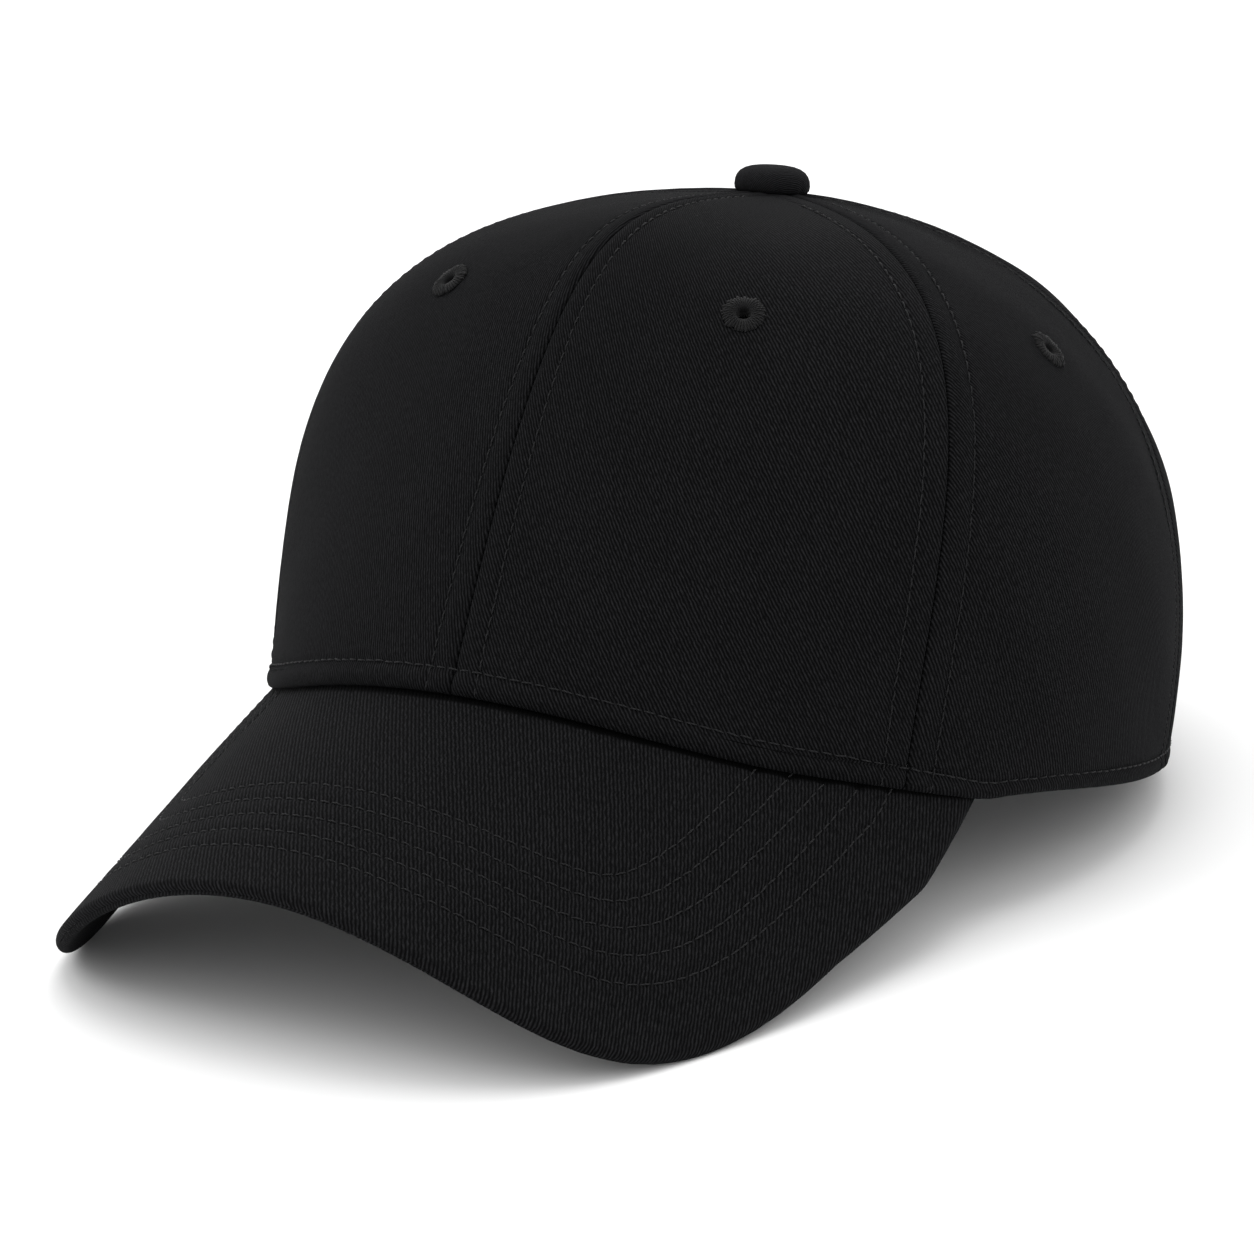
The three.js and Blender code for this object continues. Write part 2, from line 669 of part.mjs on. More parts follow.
// ---------------------------------------------------------------- button
function buttonCover() {
  const foot = GAP + 0.5;
  const skin = 0.7;
  return turned(
    [
      [0, BUTTON_H + foot],
      [BUTTON_R * 0.42, BUTTON_H + foot - 0.25],
      [BUTTON_R * 0.76, BUTTON_H + foot - 1.0],
      [BUTTON_R * 0.95, BUTTON_H + foot - 2.2],
      [BUTTON_R, foot + 1.6],
      [BUTTON_R * 0.93, foot + 0.4],
      [BUTTON_R * 0.8, foot],
      [BUTTON_R * 0.8, foot + skin],
      [BUTTON_R * 0.93 - skin, foot + skin + 0.3],
      [BUTTON_R - skin, foot + 1.8],
      [BUTTON_R * 0.95 - skin, BUTTON_H + foot - 2.5],
      [BUTTON_R * 0.72, BUTTON_H + foot - skin - 1.05],
      [BUTTON_R * 0.4, BUTTON_H + foot - skin - 0.3],
      [0, BUTTON_H + foot - skin],
    ],
    24,
  );
}

// Metal core of the button, with a socket for the tack's prong.
function buttonShell() {
  const foot = GAP + 0.5;
  const top = BUTTON_H + foot - 0.7 - GAP;
  const r = BUTTON_R - 0.7 - GAP;
  return turned(
    [
      [0, top],
      [r * 0.42, top - 0.3],
      [r * 0.74, top - 1.1],
      [r * 0.95, top - 2.4],
      [r * 0.95, foot + 1.3],
      [3.4, foot + 1.3],
      [3.4, foot],
      [1.5, foot],
      [1.5, top - 1.4],
      [0, top - 1.4],
    ],
    24,
  );
}

// Tack: a flat disc inside the crown with a prong up into the core.
const TACK_FACE = -(PANEL_T + 1.9);
function buttonTack() {
  const top = BUTTON_H - 1.9;
  return turned(
    [
      [0, top],
      [1.1, top - 0.8],
      [1.1, TACK_FACE + 1.0],
      [5.6, TACK_FACE + 0.8],
      [6.0, TACK_FACE + 0.4],
      [5.7, TACK_FACE],
      [0, TACK_FACE],
    ],
    24,
  );
}

// ---------------------------------------------------------------- assembly
const head = new THREE.Group();
function add(name, geometry, material) {
  const mesh = new THREE.Mesh(geometry, material);
  mesh.name = name;
  head.add(mesh);
  return mesh;
}

const PANELS = [
  ["front", SEAMS.front, SEAMS.side, PANEL_COLUMNS],
  ["side", SEAMS.side, SEAMS.back, PANEL_COLUMNS],
  ["back", SEAMS.back, SEAMS.rear, PANEL_COLUMNS + 2],
];
for (const [side, sign] of [["left", 1], ["right", -1]])
  for (const [name, from, to, columnCount] of PANELS) {
    const place = eyeletPlace(from, to, sign);
    const tools = [eyeletCutter(place)];
    if (name === "back") tools.push(archCutter());
    add(`panel_${name}_${side}`, cut(panel(from, to, sign, columnCount), tools), cloth(TWILL, 0.92));
    let wallT = PANEL_T;
    if (name === "front") {
      wallT = LINING.to;
      const stiffener = crownWall({
        from, to, side: sign,
        inset: 2.0, layer: LINING, lift: 2.4, nu: columnCount,
        topAt: () => BUCKRAM_TOP,
      });
      add(`buckram_${side}`, cut(stiffener, [eyeletCutter(place)]), cloth(BUCKRAM, 0.95));
    }
    const eyelet = add(`eyelet_${name}_${side}`, eyeletGeometry(wallT), cloth(THREAD, 0.6));
    eyelet.quaternion.copy(turnOut(place.out));
    eyelet.position.copy(place.at);
  }

for (const [side, sign] of [["left", 1], ["right", -1]]) {
  add(`tape_front_${side}`, seamTape(SEAMS.side, sign, TAPE_DEEP), cloth(TAPE, 0.85));
  add(`tape_back_${side}`, seamTape(SEAMS.back, sign, LINING), cloth(TAPE, 0.85));
}
add("tape_front_center", seamTape(SEAMS.front, 1, TAPE_DEEP), cloth(TAPE, 0.85));
const archTop = (ARCH_H + ARCH_TAPE_W + 1.8) / CROWN_HEIGHT;
const rearFoot = solve((t) => crownFace(Math.PI, t).z / CROWN_HEIGHT - archTop, 0, 0.9);
add("tape_back_center", seamTape(SEAMS.rear, 1, REAR_TAPE, rearFoot), cloth(TAPE, 0.85));
add("arch_tape", archTape(), cloth(TAPE, 0.85));

const bandEnd = (() => {
  const p = arcPoint(BAND_END, RIM_ARC_R, 0);
  return Math.atan2(p.x, -p.y);
})();
const band = sweatband(BAND, BAND_LIFT, BAND_LIFT + BAND_H, -bandEnd, bandEnd, 56);
add("sweatband", band, cloth(0x18191b, 0.9));
const padEnd = 63 * RAD;
const pad = sweatband(PAD, 3.5, 31, -padEnd, padEnd, 24);
add("sweatband_pad", pad, cloth(0x303134, 0.95));

add("visor_top_cover", visorCover(1), cloth(TWILL, 0.92));
add("visor_under_cover", visorCover(-1), cloth(TWILL, 0.92));
add("visor_board", visorBoard(), plastic(0xd8d8d4));

const apex = new THREE.Vector3(0, APEX_BACK, CROWN_HEIGHT);
add("button_cover", buttonCover(), cloth(TWILL, 0.92)).position.copy(apex);
add("button_shell", buttonShell(), brass()).position.copy(apex);
add("button_tack", buttonTack(), brass()).position.copy(apex);

add("closure_strap", arcWall(STRAP, 26), cloth(TWILL, 0.92));
add("closure_tab", closureTab(), cloth(TWILL, 0.92));
add("buckle_frame", buckleFrame(), brass());
add("buckle_lever", buckleLever(), brass());
add("buckle_pin", bucklePin(), brass());

// The head frame is pitched, then set down so that the lowest point is z = 0 and the plan
// outline is centred on the origin.
head.rotation.x = -PITCH * RAD;
const cap = new THREE.Group();
cap.add(head);
cap.updateMatrixWorld(true);
const bounds = new THREE.Box3().setFromObject(cap, true);
head.position.set(
  -(bounds.min.x + bounds.max.x) / 2,
  -(bounds.min.y + bounds.max.y) / 2,
  -bounds.min.z,
);

export default cap;
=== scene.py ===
"""Looks of a plain six-panel twill cap: cloth, seams, thread, tapes, closure and light.

Lengths are in millimetres in the head frame: the rim plane is z = 0, the front is -Y and the
wearer's left is +X. to_row() turns them into the row frame, in metres.
"""
import math

import bpy
import numpy as np
from mathutils import Matrix, Vector
from mathutils.kdtree import KDTree


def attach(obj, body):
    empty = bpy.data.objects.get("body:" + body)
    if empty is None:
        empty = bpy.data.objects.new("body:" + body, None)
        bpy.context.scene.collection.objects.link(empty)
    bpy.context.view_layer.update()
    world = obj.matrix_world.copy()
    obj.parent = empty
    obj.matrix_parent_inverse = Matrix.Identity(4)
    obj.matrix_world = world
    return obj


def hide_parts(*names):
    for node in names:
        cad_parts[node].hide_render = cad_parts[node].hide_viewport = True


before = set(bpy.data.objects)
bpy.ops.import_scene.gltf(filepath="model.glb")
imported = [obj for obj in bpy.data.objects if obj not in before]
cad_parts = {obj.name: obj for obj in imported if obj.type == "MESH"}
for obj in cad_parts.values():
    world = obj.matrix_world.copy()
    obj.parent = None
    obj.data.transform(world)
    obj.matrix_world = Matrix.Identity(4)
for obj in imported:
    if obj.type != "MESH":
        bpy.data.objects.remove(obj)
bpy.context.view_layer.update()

# ------------------------------------------------------------------ sizes
PITCH = math.radians(9.57)
HEAD_Y = 29.811
HEAD_Z = 15.196
RIM_HALF_LENGTH = 102.0
RIM_ARC_R = 84.0
ARC_CENTRE = 18.0
SIDE_CENTRE = 19.642857
SIDE_R = 110.642857
TANGENT = 0.691874
CROWN_HEIGHT = 114.0
APEX_BACK = 9.0
BULGE = (-0.32, 0.01, 0.15, 0.15)
RISE = (1.06, 0.54, 0.97, 0.82)
SHOULDER = (0.52, 1.0, 0.2, 0.2)
# each seam's azimuth at the rim, and how far it turns by the top, in degrees
SEAMS = {"front": (0.0, 0.0), "side": (54.0, 13.0), "back": (113.5, 4.5), "rear": (180.0, 0.0)}
HANDS = ((1, "left"), (-1, "right"))
SEAM_HALF_GAP = 0.14
PANEL_TOP_R = 4.2
PANEL_T = 1.0
VISOR_ARCH_R = 96.1
VISOR_CONE = -0.353
VISOR_SLOPE = math.radians(22.9)
VISOR_ROOT_Z = 17.7
VISOR_HALF_W = 95.6
VISOR_REACH = 69.4
VISOR_CORNER_V = -41.6
VISOR_POWERS = (3.17, 4.08)
VISOR_HALF_T = 1.7
VISOR_CLOTH_T = 0.6
VISOR_TUCK = 4.0
VISOR_RAY_V = -30.0
VISOR_END = math.radians(65.5)
VISOR_BACK_V = -50.0
CORNER_DIP = 4.3
DIP_FROM = 70.0
DIP_SPAN = 22.0
HEM_CORNER = math.radians(67.0)
HEM_GAP = 0.6
HEM_LIFT = 0.9
HEM_LIFT_FADE = 0.09
ARCH_HALF_W = 41.0
ARCH_H = 50.0
ARCH_POWER = 0.43
ARCH_CORNER = math.pi - math.asin(ARCH_HALF_W / (RIM_ARC_R + ARC_CENTRE * 0.86))
EYELET_T = 0.525
SEAM_ROW = 5.7
HEM_ROW = 4.0
ARCH_ROW = 3.0
VISOR_ROWS = (14.2, 19.9, 25.6, 31.3, 37.0)
STITCH_PITCH = 2.75
STEP = 1e-3


# ------------------------------------------------------------------ shape of the cap
def to_row(points):
    x, y, z = points[..., 0], points[..., 1], points[..., 2]
    cos, sin = math.cos(PITCH), math.sin(PITCH)
    return np.stack([x, HEAD_Y + y * cos + z * sin, HEAD_Z - y * sin + z * cos], -1) / 1000


def unit(v):
    return v / np.maximum(np.linalg.norm(v, axis=-1, keepdims=True), 1e-12)


def run_length(line):
    """Length along a line of points, from its start to each of them."""
    return np.concatenate([[0], np.cumsum(np.linalg.norm(np.diff(line, axis=0), axis=1))])


def eased(share):
    return share * share * (3 - 2 * share)


def crowded(count):
    """Places from 0 to 1 that crowd towards both ends."""
    return (1 - np.cos(np.linspace(0, np.pi, count))) / 2


def bisect(f, low, high):
    """Zeros of a function that grows from low to high, one for each element."""
    low, high = low.copy(), high.copy()
    for _ in range(36):
        mid = (low + high) / 2
        below = f(mid) < 0
        low, high = np.where(below, mid, low), np.where(below, high, mid)
    return (low + high) / 2


def rim_radius(phi):
    q = np.abs(phi)
    q = np.where(q > np.pi / 2, np.pi - q, q)
    sin, cos = np.sin(q), np.cos(q)
    ends = ARC_CENTRE * cos + np.sqrt(RIM_ARC_R**2 - (ARC_CENTRE * sin) ** 2)
    sides = -SIDE_CENTRE * sin + np.sqrt(SIDE_R**2 - (SIDE_CENTRE * cos) ** 2)
    return np.where(q < TANGENT, ends, sides)


def around(values, phi):
    """Smooth curve round the cap through the values at 0, 60, 120 and 180 degrees."""
    a, b, c, d = values
    return (
        (a + 2 * b + 2 * c + d) / 6
        + (a + b - c - d) / 3 * np.cos(phi)
        + (a - b - c + d) / 3 * np.cos(2 * phi)
        + (a - 2 * b + 2 * c - d) / 6 * np.cos(3 * phi)
    )


def visor_point(s, v, h):
    """Point of the visor, h above its mid surface at flat-pattern place s, v."""
    rho = VISOR_ARCH_R + VISOR_CONE * v
    psi = s / rho
    drop = rho * (np.cos(psi) - 1) + h * np.cos(psi)
    out = np.maximum(0, np.abs(s) - DIP_FROM) / DIP_SPAN
    dip = CORNER_DIP * out**2 * np.clip(v / VISOR_BACK_V, 0, 1)
    cos, sin = math.cos(VISOR_SLOPE), math.sin(VISOR_SLOPE)
    y = -RIM_HALF_LENGTH - v * cos - drop * sin
    return np.stack([(rho + h) * np.sin(psi), y, VISOR_ROOT_Z - v * sin + drop * cos - dip], -1)


def visor_flat(x, y, h):
    """Flat-pattern place of the visor point at plan position x, y."""
    cos, sin = math.cos(VISOR_SLOPE), math.sin(VISOR_SLOPE)
    s, v = x, np.zeros_like(x)
    for _ in range(24):
        rho = VISOR_ARCH_R + VISOR_CONE * v
        psi = np.arcsin(np.clip(x / (rho + h), -0.98, 0.98))
        drop = rho * (np.cos(psi) - 1) + h * np.cos(psi)
        s = psi * rho
        v = (-RIM_HALF_LENGTH - drop * sin - y) / cos
    return s, v


def hem_height(x, y):
    """Height of the crown's lower edge: on the visor at the front, easing down behind it."""
    azimuth = np.arctan2(np.abs(x), -y)
    r = np.hypot(x, y)
    a = np.minimum(azimuth, HEM_CORNER)
    px, py = r * np.sin(a), -r * np.cos(a)
    s, v = visor_flat(px, py, VISOR_HALF_T)
    top = visor_point(s, v, VISOR_HALF_T)[..., 2] + HEM_GAP / math.cos(VISOR_SLOPE)
    past = np.clip((y - py) / (RIM_HALF_LENGTH - py), 0, 1)
    return top * (1 - past) ** 3


HEM_PHI = np.linspace(0, np.pi, 1441)
HEM_Z = hem_height(rim_radius(HEM_PHI) * np.sin(HEM_PHI), -rim_radius(HEM_PHI) * np.cos(HEM_PHI))


def crown_face(phi, t):
    """Outer face of the crown; t runs from 0 at the rim to 1 at the top."""
    u = 1 - t
    swell = 3 * u * u * t * (1 + around(BULGE, phi)) + 3 * u * t * t * around(SHOULDER, phi)
    r = rim_radius(phi) * (u**3 + swell)
    rise = 3 * u * u * t * around(RISE, phi) + 3 * u * t * t + t**3
    z = np.interp(np.abs(phi), HEM_PHI, HEM_Z) * u**3 + CROWN_HEIGHT * rise
    return np.stack([r * np.sin(phi), -r * np.cos(phi) + APEX_BACK * t * t, z], -1)


def crown_normal(phi, t):
    across = crown_face(phi + STEP, t) - crown_face(phi - STEP, t)
    up = crown_face(phi, np.minimum(t + STEP, 1)) - crown_face(phi, t - STEP)
    return unit(np.cross(across, up))


def crown_point(phi, t, depth):
    return crown_face(phi, t) - np.asarray(depth)[..., None] * crown_normal(phi, t)


def hem_lift(azimuth):
    """Extra gap between the folded edge and the visor, where the edge stands on the visor."""
    return HEM_LIFT * np.clip((HEM_CORNER - np.abs(azimuth)) / HEM_LIFT_FADE, 0, 1)


def arch_height(x):
    return ARCH_H * np.maximum(0, 1 - (x / ARCH_HALF_W) ** 2) ** ARCH_POWER


def low_t(phi, depth, lift):
    """Place on each meridian where the wall stands `lift` above the hem or the back arch."""
    def above(t):
        p = crown_point(phi, t, depth)
        foot = hem_height(p[..., 0], p[..., 1]) + lift
        arch = np.where(p[..., 1] > 0, arch_height(p[..., 0]), 0)
        return p[..., 2] - np.maximum(foot, arch)
    return bisect(above, np.full_like(phi, -0.05), np.full_like(phi, 0.75))


def top_t(phi, r):
    def nearer(t):
        p = crown_face(phi, t)
        return r - np.hypot(p[..., 0], p[..., 1] - APEX_BACK)
    return bisect(nearer, np.full_like(phi, 0.5), np.full_like(phi, 0.9999))


def seam_phi(seam, t):
    rim, turn = SEAMS[seam]
    return np.radians(rim + turn * t)


def eyelet_phi(seams):
    return (seam_phi(seams[0], EYELET_T) + seam_phi(seams[1], EYELET_T)) / 2


def two_steps_wide(phi, t):
    """Distance across the crown between two steps of azimuth."""
    return np.linalg.norm(crown_face(phi + STEP, t) - crown_face(phi - STEP, t), axis=-1)


def panel_width(seams, t):
    a, b = seam_phi(seams[0], t), seam_phi(seams[1], t)
    return (b - a) * two_steps_wide((a + b) / 2, t) / (2 * STEP)


def on_crown(phi, t, depth):
    """Points at one depth in the crown, and the crown's normals there."""
    return crown_point(phi, t, depth + 0 * t), crown_normal(phi, t)


def panel_phi(seams, share, t):
    a, b = seam_phi(seams[0], t), seam_phi(seams[1], t)
    return a + (b - a) * share


# ------------------------------------------------------------------ small reliefs of the cloth
def rolled(distance, radius, drop):
    """Rounding of an edge: 0 beyond the radius, -drop at the edge itself."""
    x = np.clip(1 - distance / radius, 0, 1)
    return -drop * (1 - np.sqrt(1 - x * x))


def bump(distance, at, width):
    return np.exp(-(((distance - at) / width) ** 2))


def ripple(u, v, phase):
    """Slow unevenness of cloth, about one unit high."""
    return (
        0.5 * np.sin(u / 9.1 + v / 17.0 + phase)
        + 0.3 * np.sin(u / 14.3 - v / 6.7 + 2.1 * phase)
        + 0.2 * np.sin(u / 4.1 + v / 5.3 + 3.7 * phase)
    )


def pucker(along, phase):
    """Short gathers that thread pulls into a seam."""
    return 0.6 * np.sin(along / 1.15 + phase) + 0.4 * np.sin(along / 0.71 + 2.3 * phase)


def seam_relief(beside, full, along, phase):
    """Relief of a panel next to a joined seam: rolled edge, allowance below, topstitch groove."""
    row = bump(beside, SEAM_ROW, 0.6)
    return (
        rolled(beside, 1.3, 1.0)
        + full * bump(beside, 2.9, 1.6)
        - 0.3 * row
        + 0.05 * pucker(along, phase) * bump(beside, SEAM_ROW, 2.6)
    )


def hem_relief(above, row, along, phase):
    """Relief of the folded edge of the crown and its topstitch row."""
    return (
        rolled(above, 1.3, 0.9)
        + 0.38 * bump(above, 1.9, 1.3)
        - 0.34 * bump(above, row, 0.6)
        + 0.06 * pucker(along, phase) * bump(above, row, 2.4)
    )


# ------------------------------------------------------------------ mesh makers
def piece(name, body, replaced, points, faces, weave, material, crease=50):
    """Object from points in the head frame, with its cloth coordinates as an attribute."""
    mesh = bpy.data.meshes.new(name)
    mesh.from_pydata(to_row(points).tolist(), [], faces)
    held = mesh.attributes.new("weave", "FLOAT_VECTOR", "POINT")
    held.data.foreach_set("vector", np.ascontiguousarray(weave, np.float32).ravel())
    mesh.polygons.foreach_set("use_smooth", [True] * len(mesh.polygons))
    mesh.set_sharp_from_angle(angle=math.radians(crease))
    mesh.materials.append(material)
    obj = bpy.data.objects.new(name, mesh)
    bpy.context.scene.collection.objects.link(obj)
    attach(obj, body)
    if replaced:
        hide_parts(*replaced)
    return obj


def grid_faces(rows, cols, start, flip):
    i, j = np.meshgrid(np.arange(rows - 1), np.arange(cols - 1), indexing="ij")
    first = start + i * cols + j
    quads = np.stack([first, first + 1, first + cols + 1, first + cols], -1).reshape(-1, 4)
    return (quads[:, ::-1] if flip else quads).tolist()


def shell(outer, inner, weave, flip=False):
    """Closed skin between two grids of the same size: points, faces and cloth coordinates.

    A third cloth coordinate, where given, is painted shade: how dark the cloth is painted in a joint,
    from 0 to 1.
    """
    rows, cols = outer.shape[:2]
    points = np.concatenate([outer.reshape(-1, 3), inner.reshape(-1, 3)])
    size = rows * cols
    faces = grid_faces(rows, cols, 0, flip) + grid_faces(rows, cols, size, not flip)
    index = np.arange(size).reshape(rows, cols)
    loop = np.concatenate([index[0, :-1], index[:-1, -1], index[-1, :0:-1], index[:0:-1, 0]])
    after = np.roll(loop, -1)
    wall = np.stack([after, loop, loop + size, after + size], -1)
    faces += (wall[:, ::-1] if flip else wall).tolist()
    flat = np.concatenate([weave, np.zeros((rows, cols, 1))], -1)[..., :3].reshape(-1, 3)
    return points, faces, np.concatenate([flat, flat])


def skin(name, body, node_name, outer, inner, weave, material, flip=False):
    """Closed skin between two grids, as an object in place of one node."""
    points, faces, weave = shell(outer, inner, weave, flip)
    return piece(name, body, [node_name], points, faces, weave, material, 60)


def ring(profile, turns):
    """Closed loop of profile points swept round; profile is (turns, n, 3)."""
    n = profile.shape[1]
    points = profile.reshape(-1, 3)
    i, j = np.meshgrid(np.arange(turns), np.arange(n), indexing="ij")
    a, b = (i + 1) % turns, (j + 1) % n
    quads = np.stack([i * n + j, a * n + j, a * n + b, i * n + b], -1)
    return points, quads.reshape(-1, 4).tolist()


# ------------------------------------------------------------------ thread
SIDES = 6
RINGS = 9
rng = np.random.default_rng(6)


def stitches(line, normals, pitch=STITCH_PITCH, radius=0.17, height=0.27, share=0.82):
    """Points of separate stitches laid along a line, and their faces."""
    line, normals = np.asarray(line), np.asarray(normals)
    length = run_length(line)
    count = int(length[-1] // pitch)
    x = np.linspace(0, 1, RINGS)
    start = (np.arange(count) + 0.5 * (1 - share)) * pitch + rng.normal(0, 0.06, count)
    long = pitch * share * rng.normal(1, 0.035, count)
    place = start[:, None] + long[:, None] * x
    at = np.stack([np.interp(place, length, line[:, k]) for k in range(3)], -1)
    out = unit(np.stack([np.interp(place, length, normals[:, k]) for k in range(3)], -1))
    along = unit(np.gradient(at, axis=1))
    beside = unit(np.cross(along, out))
    arc = np.sin(np.pi * x)
    lean = rng.normal(0, 0.07, count)[:, None] * (2 * x - 1) + rng.normal(0, 0.04, count)[:, None]
    at = at + out * (-0.16 + height * arc**0.6)[:, None] + beside * lean[..., None]
    thick = radius * (0.5 + 0.5 * arc**0.5)
    turn = 2 * np.pi * np.arange(SIDES) / SIDES
    ringed = np.cos(turn)[:, None] * beside[..., None, :] + np.sin(turn)[:, None] * out[..., None, :]
    points = at[..., None, :] + thick[:, None, None] * ringed
    weave = np.zeros(points.shape)
    weave[..., 0] = place[..., None]
    weave[..., 1] = turn / (2 * np.pi)
    weave[..., 2] = rng.random(count)[:, None, None]
    return points, weave


def sewn(name, body, rows):
    """One object that holds every stitch of the given rows."""
    made = [stitches(*row) for row in rows]
    points = np.concatenate([p for p, _ in made])
    weave = np.concatenate([w for _, w in made])
    i, j = np.meshgrid(np.arange(RINGS - 1), np.arange(SIDES), indexing="ij")
    k = (j + 1) % SIDES
    tube = [i * SIDES + j, (i + 1) * SIDES + j, (i + 1) * SIDES + k, i * SIDES + k]
    tube = np.stack(tube, -1).reshape(-1, 4)
    first_cap = np.arange(SIDES)
    caps = np.stack([first_cap, RINGS * SIDES - 1 - first_cap])
    base = (np.arange(len(points)) * RINGS * SIDES)[:, None, None]
    faces = (base + tube).reshape(-1, 4).tolist() + (base + caps).reshape(-1, SIDES).tolist()
    flat = points.reshape(-1, 3)
    piece(name, body, [], flat, faces, weave.reshape(-1, 3), MATERIALS["thread"])


# ------------------------------------------------------------------ materials
def new_material(name):
    material = bpy.data.materials.new(name)
    material.use_nodes = True
    tree = material.node_tree
    shader = tree.nodes["Principled BSDF"]
    return material, tree, shader


def node(tree, kind, settings=None, **inputs):
    """New node; an input named i0, i1 and so on is found by its number, others by their name."""
    made = tree.nodes.new(kind)
    for key, value in (settings or {}).items():
        setattr(made, key, value)
    for key, value in inputs.items():
        socket = made.inputs[int(key[1:]) if key[1:].isdigit() else key]
        if isinstance(value, bpy.types.NodeSocket):
            tree.links.new(value, socket)
        else:
            socket.default_value = value
    return made


def math_node(tree, operation, a, b=0.0):
    return node(tree, "ShaderNodeMath", {"operation": operation}, i0=a, i1=b).outputs[0]


def times(tree, a, b):
    return math_node(tree, "MULTIPLY", a, b)


def plus(tree, a, b):
    return math_node(tree, "ADD", a, b)


def weighed(tree, a, weight_a, b, weight_b):
    """Sum of a and b, each times its weight."""
    return plus(tree, times(tree, a, weight_a), times(tree, b, weight_b))


def less(tree, value):
    return math_node(tree, "SUBTRACT", 1.0, value)


def wave(tree, phase):
    """0.5 + 0.5 sin(2 pi phase)."""
    turn = times(tree, phase, 2 * math.pi)
    return math_node(tree, "MULTIPLY_ADD", math_node(tree, "SINE", turn), 0.5)


def remap(tree, value, low, high):
    return node(tree, "ShaderNodeMapRange", i0=value, i3=low, i4=high).outputs[0]


def noise(tree, vector, scale, detail=2.0, rough=0.5):
    inputs = {"Vector": vector, "Scale": scale, "Detail": detail, "Roughness": rough}
    return node(tree, "ShaderNodeTexNoise", **inputs).outputs[0]


def scaled(tree, vector, factors):
    made = node(tree, "ShaderNodeVectorMath", {"operation": "MULTIPLY"}, i0=vector, i1=factors)
    return made.outputs[0]


def ramp(tree, factor, stops):
    made = node(tree, "ShaderNodeValToRGB", i0=factor)
    band = made.color_ramp
    band.elements[0].position, band.elements[0].color = stops[0][0], (*stops[0][1], 1)
    band.elements[1].position, band.elements[1].color = stops[-1][0], (*stops[-1][1], 1)
    for position, colour in stops[1:-1]:
        band.elements.new(position).color = (*colour, 1)
    return made.outputs[0]


def object_place(tree):
    return node(tree, "ShaderNodeTexCoord").outputs["Object"]


def weave_axes(tree):
    vector = node(tree, "ShaderNodeAttribute", {"attribute_name": "weave"}).outputs["Vector"]
    split = node(tree, "ShaderNodeSeparateXYZ", i0=vector)
    return vector, split.outputs[0], split.outputs[1], split.outputs[2]


def wire(tree, shader, colour, rough, height, strength, distance, **settings):
    """Gives the shader its colour, roughness and relief, and the settings that are plain values."""
    bumped = node(tree, "ShaderNodeBump", Strength=strength, Distance=distance, Height=height)
    tree.links.new(colour, shader.inputs["Base Color"])
    tree.links.new(rough, shader.inputs["Roughness"])
    tree.links.new(bumped.outputs[0], shader.inputs["Normal"])
    for key, value in settings.items():
        shader.inputs[SHADER_INPUTS[key]].default_value = value


SHADER_INPUTS = {
    "specular": "Specular IOR Level",
    "sheen": "Sheen Weight",
    "sheen_rough": "Sheen Roughness",
    "sheen_tint": "Sheen Tint",
    "metallic": "Metallic",
}


def twill(name, rib_degrees, pitch, dark, light):
    """Twill: raised diagonal ribs, each a row of short floats, with fibre fuzz and mottling; painted
    shade darkens the rib valleys and, where the third cloth coordinate says, the joint under the
    crown.
    """
    material, tree, shader = new_material(name)
    vector, x, y, joint_shade = weave_axes(tree)
    wobble = times(tree, noise(tree, vector, 0.7, 3.0), 0.8)
    # across runs square to the ribs and along runs with them
    across_x = math.sin(math.radians(rib_degrees)) / pitch
    across_y = -math.cos(math.radians(rib_degrees)) / pitch
    across = plus(tree, weighed(tree, x, across_x, y, across_y), wobble)
    along = times(tree, weighed(tree, x, -across_y, y, across_x), 0.45)
    rib = wave(tree, across)
    float_axes = node(tree, "ShaderNodeCombineXYZ", i0=across, i1=along).outputs[0]
    floats = remap(tree, noise(tree, float_axes, 1.1, 3.0, 0.7), -1.1, 2.4)
    fuzz = noise(tree, vector, 7.0, 3.0, 0.65)
    cloud = noise(tree, vector, 0.06, 4.0, 0.6)
    slub = noise(tree, scaled(tree, vector, (2.2, 0.16, 1.0)), 1.0)
    height = weighed(tree, rib, 0.3, times(tree, floats, rib), 0.55)
    height = plus(tree, height, times(tree, fuzz, 0.2))
    # partly painted shade: the tone follows the rib height, darker in the valleys and lighter on the
    # crests; the cloud and slub tone are the cloth's own
    tone = plus(tree, weighed(tree, height, 0.9, cloud, 0.16), times(tree, slub, 0.12))
    # painted shade: the tone falls towards black where the joint shade coordinate nears 1, standing in
    # for the shade in the crevice under the crown
    tone = times(tree, tone, less(tree, joint_shade))
    middle = tuple((a + b) / 2 for a, b in zip(dark, light))
    stops = [(0.0, DEEPEST_SHADE), (0.34, dark), (0.72, middle), (1.0, light)]
    wire(tree, shader, ramp(tree, tone, stops), remap(tree, fuzz, 0.78, 0.98), height, 1.0, 0.00022,
         specular=0.03, sheen=0.01, sheen_rough=0.45, sheen_tint=(0.9, 0.94, 1.0, 1))
    return material


def thread_material(name, dark, light):
    """Two-ply sewing thread: the ply twist winds round each stitch."""
    material, tree, shader = new_material(name)
    vector, along, turn, _ = weave_axes(tree)
    ply = wave(tree, weighed(tree, along, 1.1, turn, 2.0))
    fuzz = noise(tree, vector, 9.0)
    colour = ramp(tree, weighed(tree, ply, 0.7, fuzz, 0.3), [(0.1, dark), (0.9, light)])
    wire(tree, shader, colour, remap(tree, fuzz, 0.5, 0.75), ply, 0.6, 0.00008,
         specular=0.12, sheen=0.05)
    return material


